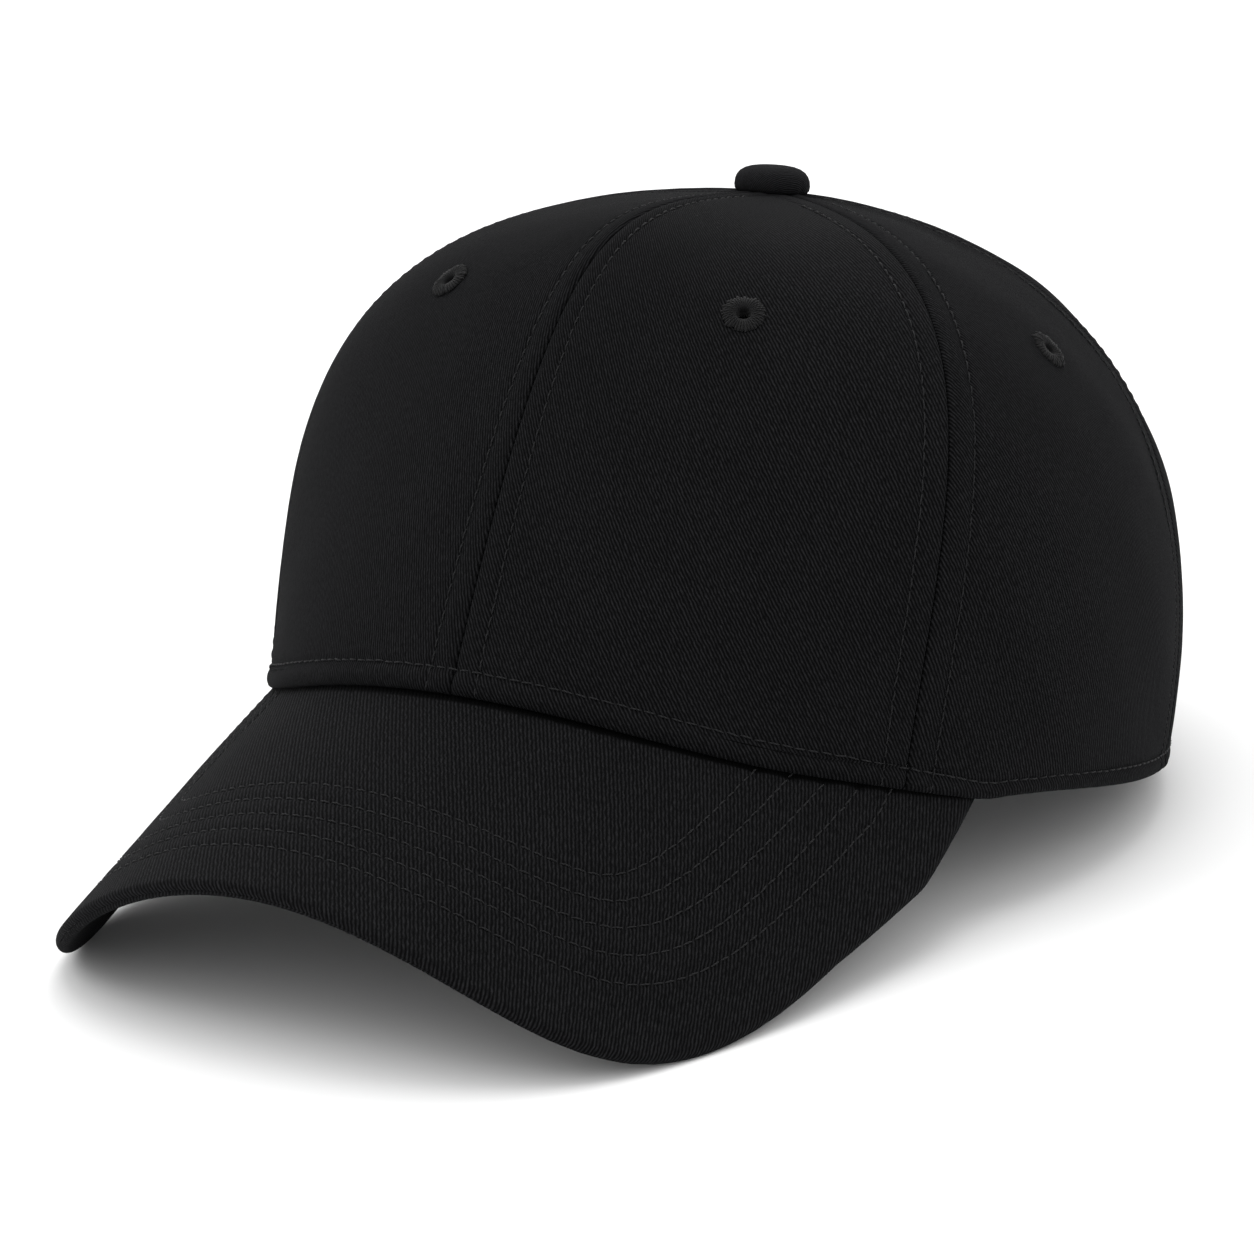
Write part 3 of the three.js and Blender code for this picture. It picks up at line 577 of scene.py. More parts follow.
def plain_weave(name, pitch, dark, light, strength, sheen=0.1):
    """Plain weave: warp and weft take turns on top."""
    material, tree, shader = new_material(name)
    vector, x, y, _ = weave_axes(tree)
    warp = wave(tree, times(tree, x, 1 / pitch))
    weft = wave(tree, times(tree, y, 1 / pitch))
    under = times(tree, less(tree, warp), less(tree, weft))
    height = plus(tree, times(tree, warp, weft), under)
    fuzz = noise(tree, vector, 4.0, 3.0)
    cloud = noise(tree, vector, 0.08, 3.0)
    tone = weighed(tree, height, 0.5, plus(tree, fuzz, cloud), 0.3)
    wire(tree, shader, ramp(tree, tone, [(0.15, dark), (0.85, light)]),
         remap(tree, fuzz, 0.75, 0.95), height, strength, 0.0002, specular=0.2, sheen=sheen)
    return material


def felt_material(name, dark, light):
    material, tree, shader = new_material(name)
    vector = weave_axes(tree)[0]
    fibre = noise(tree, vector, 2.5, 6.0, 0.7)
    cloud = noise(tree, vector, 0.1, 3.0)
    colour = ramp(tree, weighed(tree, fibre, 0.7, cloud, 0.3), [(0.3, dark), (0.7, light)])
    wire(tree, shader, colour, remap(tree, fibre, 0.85, 1.0), fibre, 0.7, 0.0003, sheen=0.25)
    return material


def brass_material(name):
    """Antique brass: dark patina in patches, rubbed brighter, with fine scratches."""
    material, tree, shader = new_material(name)
    at = object_place(tree)
    patina = noise(tree, at, 260.0, 5.0, 0.6)
    scratch = noise(tree, scaled(tree, at, (300, 300, 4000)), 1.0, 3.0, 0.7)
    stops = [(0.3, (0.05, 0.032, 0.014)), (0.5, (0.21, 0.14, 0.06)), (0.75, (0.42, 0.29, 0.13))]
    colour = ramp(tree, weighed(tree, patina, 0.75, scratch, 0.25), stops)
    wire(tree, shader, colour, remap(tree, scratch, 0.28, 0.55), scratch, 0.25, 0.00005,
         metallic=1.0)
    return material


def board_material(name):
    """Moulded plastic board with a faint grain."""
    material, tree, shader = new_material(name)
    at = object_place(tree)
    grain = noise(tree, at, 900.0, 4.0)
    stops = [(0.3, (0.55, 0.55, 0.53)), (0.7, (0.68, 0.68, 0.65))]
    colour = ramp(tree, noise(tree, at, 40.0, 3.0), stops)
    wire(tree, shader, colour, remap(tree, grain, 0.4, 0.6), grain, 0.3, 0.0001)
    return material


# colour of the deepest painted shade, in the joint under the crown and at the bottom of the ribs
DEEPEST_SHADE = (0.0004, 0.0004, 0.0004)
BLACK = (0.0019, 0.0019, 0.0021)
COAL = (0.0152, 0.0152, 0.0163)
MATERIALS = {
    "front_left": twill("twill_front_left", 122, 0.66, BLACK, COAL),
    "front_right": twill("twill_front_right", 110, 0.66, BLACK, COAL),
    "side": twill("twill_side", 118, 0.66, BLACK, COAL),
    "visor": twill("twill_visor", 57, 0.76, BLACK, COAL),
    "button": twill("twill_button", 60, 0.42, (0.005, 0.005, 0.0055), (0.021, 0.021, 0.0225)),
    "closure": twill("twill_closure", 65, 0.62, BLACK, COAL),
    "band": twill("twill_band", 60, 0.55, (0.006, 0.0062, 0.007), (0.018, 0.0185, 0.02)),
    "thread": thread_material("black_thread", (0.0028, 0.0028, 0.0031), (0.0118, 0.0119, 0.0129)),
    "satin": thread_material("satin_thread", (0.0008, 0.0008, 0.0009), (0.0072, 0.0072, 0.0078)),
    "tape": plain_weave("seam_tape", 0.62, (0.006, 0.0062, 0.007), (0.022, 0.0225, 0.025), 0.7),
    "buckram": plain_weave("stiff_buckram", 1.5, (0.01, 0.01, 0.0105), (0.06, 0.06, 0.062), 1.0,
                           0.0),
    "felt": felt_material("pad_felt", (0.02, 0.02, 0.022), (0.05, 0.05, 0.054)),
    "brass": brass_material("antique_brass"),
    "board": board_material("visor_board_plastic"),
}

# ------------------------------------------------------------------ crown panels
EDGE_STEPS = np.array([0, 0.1, 0.25, 0.45, 0.7, 1.0, 1.4, 1.9, 2.6, 3.4, 4.2, 4.8, 5.2, 5.5, 5.8,
                       6.1, 6.5, 7.2, 8.4, 10.0])
HEM_STEPS = np.array([0, 0.1, 0.25, 0.5, 0.8, 1.2, 1.7, 2.3, 2.9, 3.4, 3.8, 4.2, 4.6, 5.2, 6.2,
                      7.6, 9.5])
# distances along the rim from the arch's corner of a back panel's middle columns
ARCH_COLUMNS = np.array([-58, -52.5, -47, -41.5, -36, -31, -26.5, -22.5, -19, -16.3, -14, -9, -5.5, -3,
                         -1.5, -0.6, -0.15, 0.05, 0.2, 0.5, 1.0, 1.8, 3.0, 4.6, 6.6, 9.0, 12, 15,
                         18.5, 22, 25.5, 29, 33, 37])
MIDDLE_COLUMNS = np.linspace(0, 1, len(ARCH_COLUMNS) + 2)[1:-1]
PANEL_ROWS = 96


def column_shares(seams, t, foot_middle):
    """Shares of the panel's width for every column, at each t."""
    width = panel_width(seams, t)[..., None]
    near = EDGE_STEPS * np.minimum(1, 0.4 * width / EDGE_STEPS[-1]) / width
    last = near[..., -1:]
    middle = MIDDLE_COLUMNS
    if foot_middle is not None:
        fade = eased(np.clip(t / 0.55, 0, 1)[..., None])
        middle = foot_middle * (1 - fade) + MIDDLE_COLUMNS * fade
    return np.concatenate([near, last + (1 - 2 * last) * middle, 1 - near[..., ::-1]], -1)


def foot_shares(seams):
    """Middle columns of a back panel at its foot, crowded where the arch stands upright."""
    width = float(panel_width(seams, np.array(0.0)))
    at = (ARCH_CORNER - float(seam_phi(seams[0], 0.0))) * rim_radius(ARCH_CORNER)
    places = (at + ARCH_COLUMNS - EDGE_STEPS[-1]) / (width - 2 * EDGE_STEPS[-1])
    return np.clip(np.sort(places), 0.005, 0.995)


def panel_grid(seams, side, inset, depth, lift, top_of):
    """Azimuth, t, and cloth coordinates of a panel's grid, rows from the hem up."""
    middle = foot_shares(seams) if seams == ("back", "rear") else None
    cols = 2 * len(EDGE_STEPS) + len(MIDDLE_COLUMNS)
    pick = np.arange(cols)

    def drawn_in(share, t):
        return 0.5 + (share - 0.5) * (1 - 2 * inset / panel_width(seams, t))

    def phi_at(t):
        return panel_phi(seams, drawn_in(column_shares(seams, t, middle)[pick, pick], t), t)

    start, stop = np.full(cols, 0.02), np.full(cols, 0.9)
    for _ in range(6):
        start = low_t(phi_at(start), depth, lift + hem_lift(phi_at(start)))
        stop = top_of(phi_at(stop))
    phi = np.zeros((len(HEM_STEPS) + PANEL_ROWS, cols))
    t, across, up = phi.copy(), phi.copy(), phi.copy()
    for j in range(cols):
        sample = np.linspace(start[j], stop[j], 161)
        share = drawn_in(column_shares(seams, sample, middle)[:, j], sample)
        face = crown_face(panel_phi(seams, share, sample), sample)
        length = run_length(face)
        rest = np.linspace(HEM_STEPS[-1], length[-1], PANEL_ROWS + 1)[1:]
        s = np.concatenate([HEM_STEPS, rest])
        t[:, j] = np.interp(s, length, sample)
        share = drawn_in(column_shares(seams, t[:, j], middle)[:, j], t[:, j])
        phi[:, j] = panel_phi(seams, share, t[:, j])
        across[:, j] = (share - 0.5) * panel_width(seams, t[:, j])
        up[:, j] = s + face[0, 2]
    return side * phi, t, across, up


def edge_distance(points):
    """Height above the hem, and distance from the back arch, of points on the crown."""
    x, y = points[..., 0], points[..., 1]
    above = points[..., 2] - hem_height(x, y) - hem_lift(np.arctan2(x, -y))
    angle = np.linspace(0, np.pi, 241)
    rim_x = ARCH_HALF_W * np.cos(angle)
    gap = np.hypot(x[..., None] - rim_x, points[..., 2, None] - arch_height(rim_x)).min(-1)
    return above, np.where(y > 0, gap, 99.0)


def panel(name, seams, side, phase):
    phi, t, across, up = panel_grid(
        seams, side, SEAM_HALF_GAP, 0.0, 0.0, lambda q: top_t(q, PANEL_TOP_R))
    face = crown_face(phi, t)
    above, arch = edge_distance(face)
    half = panel_width(seams, t) / 2
    beside = np.maximum(0, half - np.abs(across))
    calm = np.clip(beside / 9, 0, 1) * np.clip(np.minimum(above, arch) / 9, 0, 1)
    swell = 0.18 if seams[0] == "front" else 0.42
    relief = (
        seam_relief(beside, np.where(across < 0, 0.24, 0.05), up, phase)
        + hem_relief(above, HEM_ROW, across, phase)
        + hem_relief(arch, ARCH_ROW, across + up, phase)
        + swell * calm * ripple(across, up, phase)
    )
    eye = crown_face(np.array(side * eyelet_phi(seams)), np.array(EYELET_T))
    relief -= 0.3 * np.exp(-((np.linalg.norm(face - eye, axis=-1) / 6.0) ** 2))
    outer = crown_point(phi, t, -relief)
    inner = crown_point(phi, t, np.maximum(PANEL_T, 0.35 - relief))
    weave = np.stack([side * across, up], -1)
    key = f"{name}_left" if side > 0 else f"{name}_right"
    material = MATERIALS.get(key, MATERIALS["side"])
    made = skin(f"cloth_panel_{key}", "cap", f"panel_{key}", outer, inner, weave,
                material, side < 0)
    bore(made, side * eyelet_phi(seams))


def carry_weave(before, after):
    """Gives each vertex the cloth coordinates of the nearest vertex of the mesh before the cut."""
    tree = KDTree(len(before.vertices))
    for vertex in before.vertices:
        tree.insert(vertex.co, vertex.index)
    tree.balance()
    old = np.zeros(3 * len(before.vertices), np.float32)
    before.attributes["weave"].data.foreach_get("vector", old)
    nearest = [tree.find(vertex.co)[1] for vertex in after.vertices]
    if "weave" in after.attributes:
        after.attributes.remove(after.attributes["weave"])
    held = after.attributes.new("weave", "FLOAT_VECTOR", "POINT")
    held.data.foreach_set("vector", old.reshape(-1, 3)[nearest].ravel())


def bore(obj, phi):
    """Opens the eyelet's hole through a crown layer."""
    at = crown_face(np.array(phi), np.array(EYELET_T))
    out = crown_normal(np.array(phi), np.array(EYELET_T))
    a = Vector(to_row(at - 5 * out))
    b = Vector(to_row(at + 4 * out))
    bpy.ops.mesh.primitive_cylinder_add(vertices=32, radius=0.0025, depth=(b - a).length)
    tool = bpy.context.object
    turn = (b - a).to_track_quat("Z", "Y").to_matrix().to_4x4()
    tool.matrix_world = Matrix.Translation((a + b) / 2) @ turn
    cut = obj.modifiers.new("hole", "BOOLEAN")
    cut.object, cut.operation, cut.solver = tool, "DIFFERENCE", "EXACT"
    bpy.context.view_layer.update()
    cut_object = obj.evaluated_get(bpy.context.evaluated_depsgraph_get())
    done = bpy.data.meshes.new_from_object(cut_object)
    obj.modifiers.clear()
    carry_weave(obj.data, done)
    obj.data = done
    bpy.data.objects.remove(tool)


PANELS = [("front", ("front", "side")), ("side", ("side", "back")), ("back", ("back", "rear"))]
for sign in (1, -1):
    for k, (panel_name, seam_pair) in enumerate(PANELS):
        panel(panel_name, seam_pair, sign, 1.3 * k + 0.7 * sign)


# ------------------------------------------------------------------ crown stitching
def crown_row(seams, side, beside, low):
    """Stitch row at a fixed distance inside a panel's edge; a negative one is from its far edge."""
    t = np.linspace(low, 0.925, 260)
    share = abs(beside) / panel_width(seams, t)
    phi = side * panel_phi(seams, share if beside > 0 else 1 - share, t)
    return on_crown(phi, t, 0.12)


def seam_rows():
    rows = []
    for side in (1, -1):
        for _, seams in PANELS:
            for beside in (SEAM_ROW, -SEAM_ROW):
                phi = side * panel_phi(seams, 0.07 if beside > 0 else 0.93, 0.0)
                low = float(low_t(np.array([phi]), 0.0, 0.8)[0])
                if seams[1] == "rear" and beside < 0:
                    low = float(low_t(np.array([side * (math.pi - 0.1)]), 0.0, 0.0)[0]) + 0.008
                rows.append(crown_row(seams, side, beside, low))
    return rows


def hem_rows():
    """The row above the crown's folded lower edge, from one foot of the arch round to the other."""
    end = ARCH_CORNER - 0.035
    phi = np.linspace(-end, end, 1400)
    return [on_crown(phi, low_t(phi, 0.0, HEM_ROW + hem_lift(phi)), 0.1)]


def on_back(x, z, depth):
    """Point of the crown wall straight behind x, z, and its normal."""
    phi, t = np.pi - x / RIM_HALF_LENGTH, z / CROWN_HEIGHT / 2
    for _ in range(14):
        p = crown_point(phi, t, depth)
        pa = (crown_point(phi + STEP, t, depth) - p) / STEP
        pt = (crown_point(phi, t + STEP, depth) - p) / STEP
        det = pa[..., 0] * pt[..., 2] - pt[..., 0] * pa[..., 2]
        ex, ez = x - p[..., 0], z - p[..., 2]
        phi = phi + (ex * pt[..., 2] - pt[..., 0] * ez) / det
        t = t + (pa[..., 0] * ez - ex * pa[..., 2]) / det
    return on_crown(phi, t, depth)


def arch_outline(grow, angle):
    x = -(ARCH_HALF_W + grow) * np.cos(angle)
    return x, (ARCH_H + grow) * np.maximum(0, np.sin(angle)) ** (2 * ARCH_POWER)


def arch_rows():
    rows = []
    for grow in (ARCH_ROW, ARCH_ROW + 5.6):
        x, z = arch_outline(grow, np.linspace(0.06, np.pi - 0.06, 300))
        rows.append(on_back(x, z, 0.1))
    return rows


sewn("stitching_seams", "cap", seam_rows())
sewn("stitching_hem", "cap", hem_rows())
sewn("stitching_arch", "cap", arch_rows())

# ------------------------------------------------------------------ visor
def tuck_flat(phi):
    r = rim_radius(phi) - VISOR_TUCK
    return visor_flat(r * np.sin(phi), -r * np.cos(phi), 0.0)


def ray_of(flat):
    return np.arctan2(flat[0], flat[1] - VISOR_RAY_V)


def visor_reach(ray):
    """Distance along a ray of the flat pattern to the visor's outer edge."""
    n, m = VISOR_POWERS
    def past(d):
        s = d * np.sin(ray) / VISOR_HALF_W
        v = VISOR_RAY_V + d * np.cos(ray) - VISOR_CORNER_V
        return s**n + np.maximum(0, v / (VISOR_REACH - VISOR_CORNER_V)) ** m - 1
    reach = bisect(past, np.full_like(ray, 10.0), np.full_like(ray, 200.0))
    past_side = np.maximum(0, ray - CORNER_FROM)
    return reach - CORNER_SLOPE * past_side**2 / (past_side + CORNER_SOFT)


RAY_END = float(ray_of(tuck_flat(np.array([VISOR_END])))[0])
VISOR_HALF_COLUMNS = 120
CORNER_FROM = 1.56  # ray, in radians, past which the outer edge draws in towards the crown
CORNER_SLOPE = 18.5
CORNER_SOFT = 0.03
VISOR_LIP = 3.7  # the seam allowance overlaps the foot of the seam tapes
SHADE_EDGE = -0.5  # painted shade: the cloth is painted black from this far outside the crown's face inward, as the shade of the crevice under the crown's edge
SHADE_FADE = 0.4
WRAP = 1 - np.sin(np.radians([88.5, 80, 70, 60, 50, 40, 30, 20, 10, 0]))
ROW_STEPS = np.array([-1.3, -0.6, -0.25, 0.1, 0.5, 1.2, 2.8])


def visor_columns():
    """Inner and outer ends of each column of the flat pattern, from right to left."""
    ray = RAY_END * np.sin(np.linspace(0, np.pi / 2, VISOR_HALF_COLUMNS + 1))
    phi = bisect(lambda q: ray_of(tuck_flat(q)) - ray, np.zeros_like(ray), np.full_like(ray, 1.31))
    inner = np.stack(tuck_flat(phi), -1)
    reach = visor_reach(ray)
    outer = np.stack([reach * np.sin(ray), VISOR_RAY_V + reach * np.cos(ray)], -1)
    flip = np.array([-1, 1])
    join = lambda half: np.concatenate([(half * flip)[:0:-1], half])
    return join(inner), join(outer)


def visor_edge():
    ray = np.linspace(0, RAY_END, 900)
    reach = visor_reach(ray)
    half = np.stack([reach * np.sin(ray), VISOR_RAY_V + reach * np.cos(ray)], -1)
    return np.concatenate([(half * [-1, 1])[:0:-1], half])


VISOR_INNER, VISOR_OUTER = visor_columns()
VISOR_EDGE = visor_edge()


def visor_depths():
    """Distance inside the outer edge of finely spaced places on every column."""
    share = np.linspace(0, 1, 200)[:, None, None] ** 1.3
    flat = VISOR_OUTER + (VISOR_INNER - VISOR_OUTER) * share
    depth = np.stack([
        np.linalg.norm(row[:, None, :] - VISOR_EDGE, axis=-1).min(-1) for row in flat])
    return flat, np.maximum.accumulate(depth + np.linspace(0, 1e-6, 200)[:, None], axis=0)


VISOR_FLAT, VISOR_DEPTH = visor_depths()


def visor_places(depths):
    """Flat places at the given depths, (rows, columns); each column has its own depths."""
    out = np.zeros((*depths.shape, 2))
    for j in range(depths.shape[1]):
        for k in range(2):
            out[:, j, k] = np.interp(depths[:, j], VISOR_DEPTH[:, j], VISOR_FLAT[:, j, k])
    return out


def visor_row_depths():
    """Depth of each row of the visor's grid: the rounded edge, then the stitch rows, then in."""
    wrap = VISOR_HALF_T * WRAP
    rows = np.concatenate([(row + ROW_STEPS) for row in VISOR_ROWS])
    fixed = np.concatenate([wrap, [2.4, 3.4, 4.8, 6.4, 8.2, 10.2, 11.8], rows])
    deepest = VISOR_DEPTH[-1]
    scale = np.minimum(1, 0.86 * deepest / fixed[-1])
    near = wrap[:, None] * np.ones_like(deepest)
    spread = (fixed[len(wrap):, None] - wrap[-1]) * scale + wrap[-1]
    tail = spread[-1] + (deepest - spread[-1]) * (1 - (1 - np.linspace(0, 1, 28)[1:, None]) ** 1.9)
    return np.concatenate([near, spread, tail])


def visor_relief(depth, flat, phase):
    """Cloth drawn down along the stitch rows and slightly full between them."""
    relief = 0.07 * ripple(flat[..., 0] * 1.4, flat[..., 1] * 1.4, phase)
    along = flat[..., 0] + 0.8 * flat[..., 1]
    for k, row in enumerate(VISOR_ROWS):
        relief = relief - 0.27 * bump(depth, row, 0.62)
        relief = relief + 0.035 * pucker(along, phase + k) * bump(depth, row, 2.2)
    between = np.clip((depth - VISOR_ROWS[0]) / 5.7, 0, 4)
    return relief + 0.06 * np.sin(np.pi * between) ** 2


def visor_cover(name, side, phase):
    depth = visor_row_depths()
    flat = visor_places(depth)
    out_h = np.sqrt(np.maximum(0, VISOR_HALF_T**2 - np.maximum(0, VISOR_HALF_T - depth) ** 2))
    into = VISOR_HALF_T - VISOR_CLOTH_T
    ratio = into / VISOR_HALF_T
    tucked = VISOR_HALF_T - ratio * (VISOR_HALF_T - depth)
    inner_flat = visor_places(np.where(depth < VISOR_HALF_T, tucked, depth))
    inner_h = np.sqrt(np.maximum(0, into**2 - (ratio * np.maximum(0, VISOR_HALF_T - depth)) ** 2))
    relief = visor_relief(depth, flat, phase) * np.clip((depth - 1) / 4, 0, 1)
    # the seam allowance stands up inside the crown and closes the joint
    lip = VISOR_LIP * eased(np.clip(1 - (depth[-1] - depth) / 0.9, 0, 1)) if side > 0 else 0
    outer = visor_point(flat[..., 0], flat[..., 1], side * (out_h + relief + lip))
    inner = visor_point(inner_flat[..., 0], inner_flat[..., 1], side * inner_h)
    # the cloth wraps over the edge, so its threads go on past the flat pattern there
    reach = VISOR_HALF_T * np.arccos(np.clip(out_h / VISOR_HALF_T, 0, 1))
    outward = unit(VISOR_OUTER - VISOR_INNER)
    weave = flat + outward * (reach - np.maximum(0, VISOR_HALF_T - depth))[..., None]
    # painted shade: the cover's cloth is painted black where it runs in under the crown's edge, in
    # place of the crevice's shade; the third cloth coordinate carries it to the material
    x, y = outer[..., 0], outer[..., 1]
    clear = np.hypot(x, y) - rim_radius(np.arctan2(np.abs(x), -y))
    joint_shade = np.clip((SHADE_EDGE - clear) / SHADE_FADE, 0, 1)
    weave = np.concatenate([weave, joint_shade[..., None]], -1)
    skin(f"cloth_{name}", "cap", name, outer, inner, weave, MATERIALS["visor"], side > 0)


def visor_board():
    """The moulded board between the covers, its edge rounded."""
    depth = visor_row_depths()
    depth = depth + 0.95 * np.clip(1 - depth / VISOR_HALF_T, 0, 1)
    flat = visor_places(depth)
    h = 0.78 * np.sqrt(1 - np.clip(1 - (depth - 0.9) / 0.8, 0, 1) ** 2)
    outer = visor_point(flat[..., 0], flat[..., 1], h)
    inner = visor_point(flat[..., 0], flat[..., 1], -h)
    skin("moulded_board", "cap", "visor_board", outer, inner, flat, MATERIALS["board"], True)


visor_board()
visor_cover("visor_top_cover", 1, 0.4)
visor_cover("visor_under_cover", -1, 2.9)


def visor_stitch_rows(side):
    """The rows that quilt the visor, each at its own distance inside the outer edge."""
    rows = []
    for row in VISOR_ROWS:
        reach = np.flatnonzero(VISOR_DEPTH[-1] > row + 0.6)
        flat = visor_places(np.full((1, VISOR_DEPTH.shape[1]), row))[0, reach[0]:reach[-1] + 1]
        s, v = flat[:, 0], flat[:, 1]
        at = visor_point(s, v, side * (VISOR_HALF_T - 0.16))
        out = side * unit(visor_point(s, v, 2.0) - visor_point(s, v, 1.0))
        rows.append((at, out))
    return rows


sewn("stitching_visor_top", "cap", visor_stitch_rows(1))
sewn("stitching_visor_under", "cap", visor_stitch_rows(-1))

# ------------------------------------------------------------------ eyelets and button
EYELET_PROFILE = [(1.45, 0.0), (1.65, 0.42), (2.15, 0.66), (2.75, 0.72), (3.35, 0.64), (3.85, 0.42),
                  (4.15, 0.12), (4.05, -0.05), (3.4, -0.05), (2.3, -0.1), (2.25, -0.6)]
SATIN = 38
SATIN_STEPS = 6


def eyelet(name, seams, side, wall):
    """Ring of radial satin stitches worked over the hole, with a flatter one inside."""
    t = np.array(EYELET_T)
    phi = np.array(side * eyelet_phi(seams))
    at, out = crown_face(phi, t), crown_normal(phi, t)
    across = unit(np.cross(out, [0.0, 0.0, 1.0]))
    up = np.cross(across, out)
    inside = [(2.25, -wall), (2.3, -wall - 0.12), (3.8, -wall - 0.12), (3.9, -wall - 0.4),
              (3.0, -wall - 0.7), (1.9, -wall - 0.6), (1.3, -wall - 0.25)]
    profile = np.array(EYELET_PROFILE + inside)
    turns = SATIN * SATIN_STEPS
    turn = 2 * np.pi * np.arange(turns) / turns
    stitch = np.repeat(rng.normal(0, 1, SATIN), SATIN_STEPS)
    cord = np.abs(np.sin(SATIN * turn / 2)) ** 0.6
    r = profile[:, 0] + 0 * turn[:, None]
    h = profile[:, 1] + 0 * turn[:, None]
    outer = np.clip((r - 1.3) / 1.2, 0, 1) * (h > -0.02)
    h = h + outer * (0.34 * cord - 0.26)[:, None] + outer * 0.05 * stitch[:, None]
    r = r + np.clip((r - 3.6) / 0.5, 0, 1) * (0.3 * cord + 0.16 * stitch - 0.1)[:, None] * (h > -0.3)
    h = h - r**2 / 170
    points = (at + r[..., None] * (np.cos(turn)[:, None, None] * across
                                   + np.sin(turn)[:, None, None] * up) + h[..., None] * out)
    flat, faces = ring(points, turns)
    weave = np.stack([r, turn[:, None] * SATIN / 8 + 0 * r, 0 * r], -1).reshape(-1, 3)
    piece(f"thread_{name}", "cap", [name], flat, faces, weave, MATERIALS["satin"], 80)


for sign, hand in HANDS:
    for panel_name, seam_pair in PANELS:
        layers = 2.05 if panel_name == "front" else PANEL_T
        eyelet(f"eyelet_{panel_name}_{hand}", seam_pair, sign, layers)

BUTTON_PROFILE = [(0.02, 5.45), (1.6, 5.44), (3.2, 5.34), (4.6, 5.12), (5.8, 4.72), (6.8, 4.08),
                  (7.4, 3.3), (7.75, 2.4), (7.82, 1.4), (7.65, 0.6), (7.2, 0.12), (6.6, 0.05),
                  (6.3, 0.5), (6.7, 1.2), (6.95, 2.2), (6.7, 3.2), (5.6, 4.1), (3.2, 4.75),
                  (0.02, 4.85)]


def button():
    """Cloth drawn over a dome, with small gathers where it is tucked under."""
    profile = np.array(BUTTON_PROFILE)
    turns = 144
    turn = 2 * np.pi * np.arange(turns) / turns
    r = profile[:, 0] + 0 * turn[:, None]
    h = profile[:, 1] + 0 * turn[:, None]
    low = np.clip((3.2 - h) / 2.4, 0, 1) * (r > 6.5)
    gather = np.sin(15 * turn) + 0.5 * np.sin(23 * turn + 1.0)
    r = r + 0.09 * low * gather[:, None]
    x, y = r * np.cos(turn)[:, None], r * np.sin(turn)[:, None]
    # the skirt lies on the crown, which falls away from the top
    around_top = np.arctan2(np.cos(turn), -np.sin(turn))
    fall = CROWN_HEIGHT - crown_face(around_top, top_t(around_top, 7.4))[:, 2]
    h = h - fall[:, None] * np.clip((2.6 - h) / 2.6, 0, 1) * (r > 6)
    points = np.stack([x, y + APEX_BACK, h + CROWN_HEIGHT], -1)
    reach = run_length(profile)
    weave = np.stack([reach * np.cos(turn)[:, None], reach * np.sin(turn)[:, None], 0 * r], -1)
    flat, faces = ring(points[:, ::-1], turns)
    piece("cloth_button", "cap", ["button_cover"], flat, faces,
          weave[:, ::-1].reshape(-1, 3), MATERIALS["button"], 70)


button()


# ------------------------------------------------------------------ inside of the crown
TAPE_HALF_W = 5.5
TAPE_TOP_R = 12.4
BAND_FOOT, BAND_TOP, BAND_H = 1.2, 34.2, 33
BAND_ROW = 30
PAD_FOOT, PAD_TOP, PAD_H = 3.5, 31.0, 27.5


def wall_piece(name, key, outer, inner, weave, flip=False):
    return skin(f"cloth_{name}", "cap", name, outer, inner, weave, MATERIALS[key], flip)


def buckram(hand, side):
    """Stiffener behind a front panel."""
    seams = ("front", "side")
    phi, t, across, up = panel_grid(seams, side, 2.0, 1.4, 2.4, lambda q: np.full(q.shape, 0.88))
    wobble = 0.05 * ripple(across, up, 1.1)
    outer = crown_point(phi, t, 1.4 + np.abs(wobble))
    inner = crown_point(phi, t, 2.02 + wobble)
    weave = np.stack([across, up], -1)
    made = wall_piece(f"buckram_{hand}", "buckram", outer, inner, weave, side < 0)
    bore(made, side * eyelet_phi(seams))


def tape(name, seam, side, depths, foot=None):
    """Folded tape sewn down both edges over a seam inside the crown; returns its stitch rows."""
    stop = float(top_t(np.array([seam_phi(seam, 0.8)]), TAPE_TOP_R)[0])
    if foot is None:
        foot = float(low_t(np.array([side * seam_phi(seam, 0)]), depths[1], 1.6)[0])
    t = np.linspace(foot, stop, 150)[:, None] + np.zeros(29)
    beside = np.linspace(-TAPE_HALF_W, TAPE_HALF_W, 29) + 0 * t
    centre = seam_phi(seam, t)
    phi = side * (centre + beside / (two_steps_wide(centre, t) / (2 * STEP)))
    face = crown_face(side * centre[:, 0], t[:, 0])
    length = run_length(face)
    edge = TAPE_HALF_W - np.abs(beside)
    relief = rolled(edge, 0.7, 0.3) - 0.14 * bump(edge, 1.3, 0.35) + 0.1 * bump(beside, 0, 1.2)
    relief = relief + 0.04 * pucker(length[:, None] + 0 * t, side) * bump(edge, 1.3, 1.0)
    outer = crown_point(phi, t, depths[0] + 0 * t)
    inner = crown_point(phi, t, depths[1] + relief)
    weave = np.stack([beside, length[:, None] + 0 * t], -1)
    wall_piece(name, "tape", outer, inner, weave, side < 0)
    rows = []
    for column in (3, 25):
        at, out = on_crown(phi[:, column], t[:, column], depths[1] - 0.1)
        rows.append((at, -out))
    return rows


def over_arch_t():
    """Place on the rear seam just above the tape that binds the arch."""
    def above(t):
        return crown_face(np.full_like(t, np.pi), t)[..., 2] - (ARCH_H + 10.8)
    return float(bisect(above, np.array([0.0]), np.array([0.9]))[0])


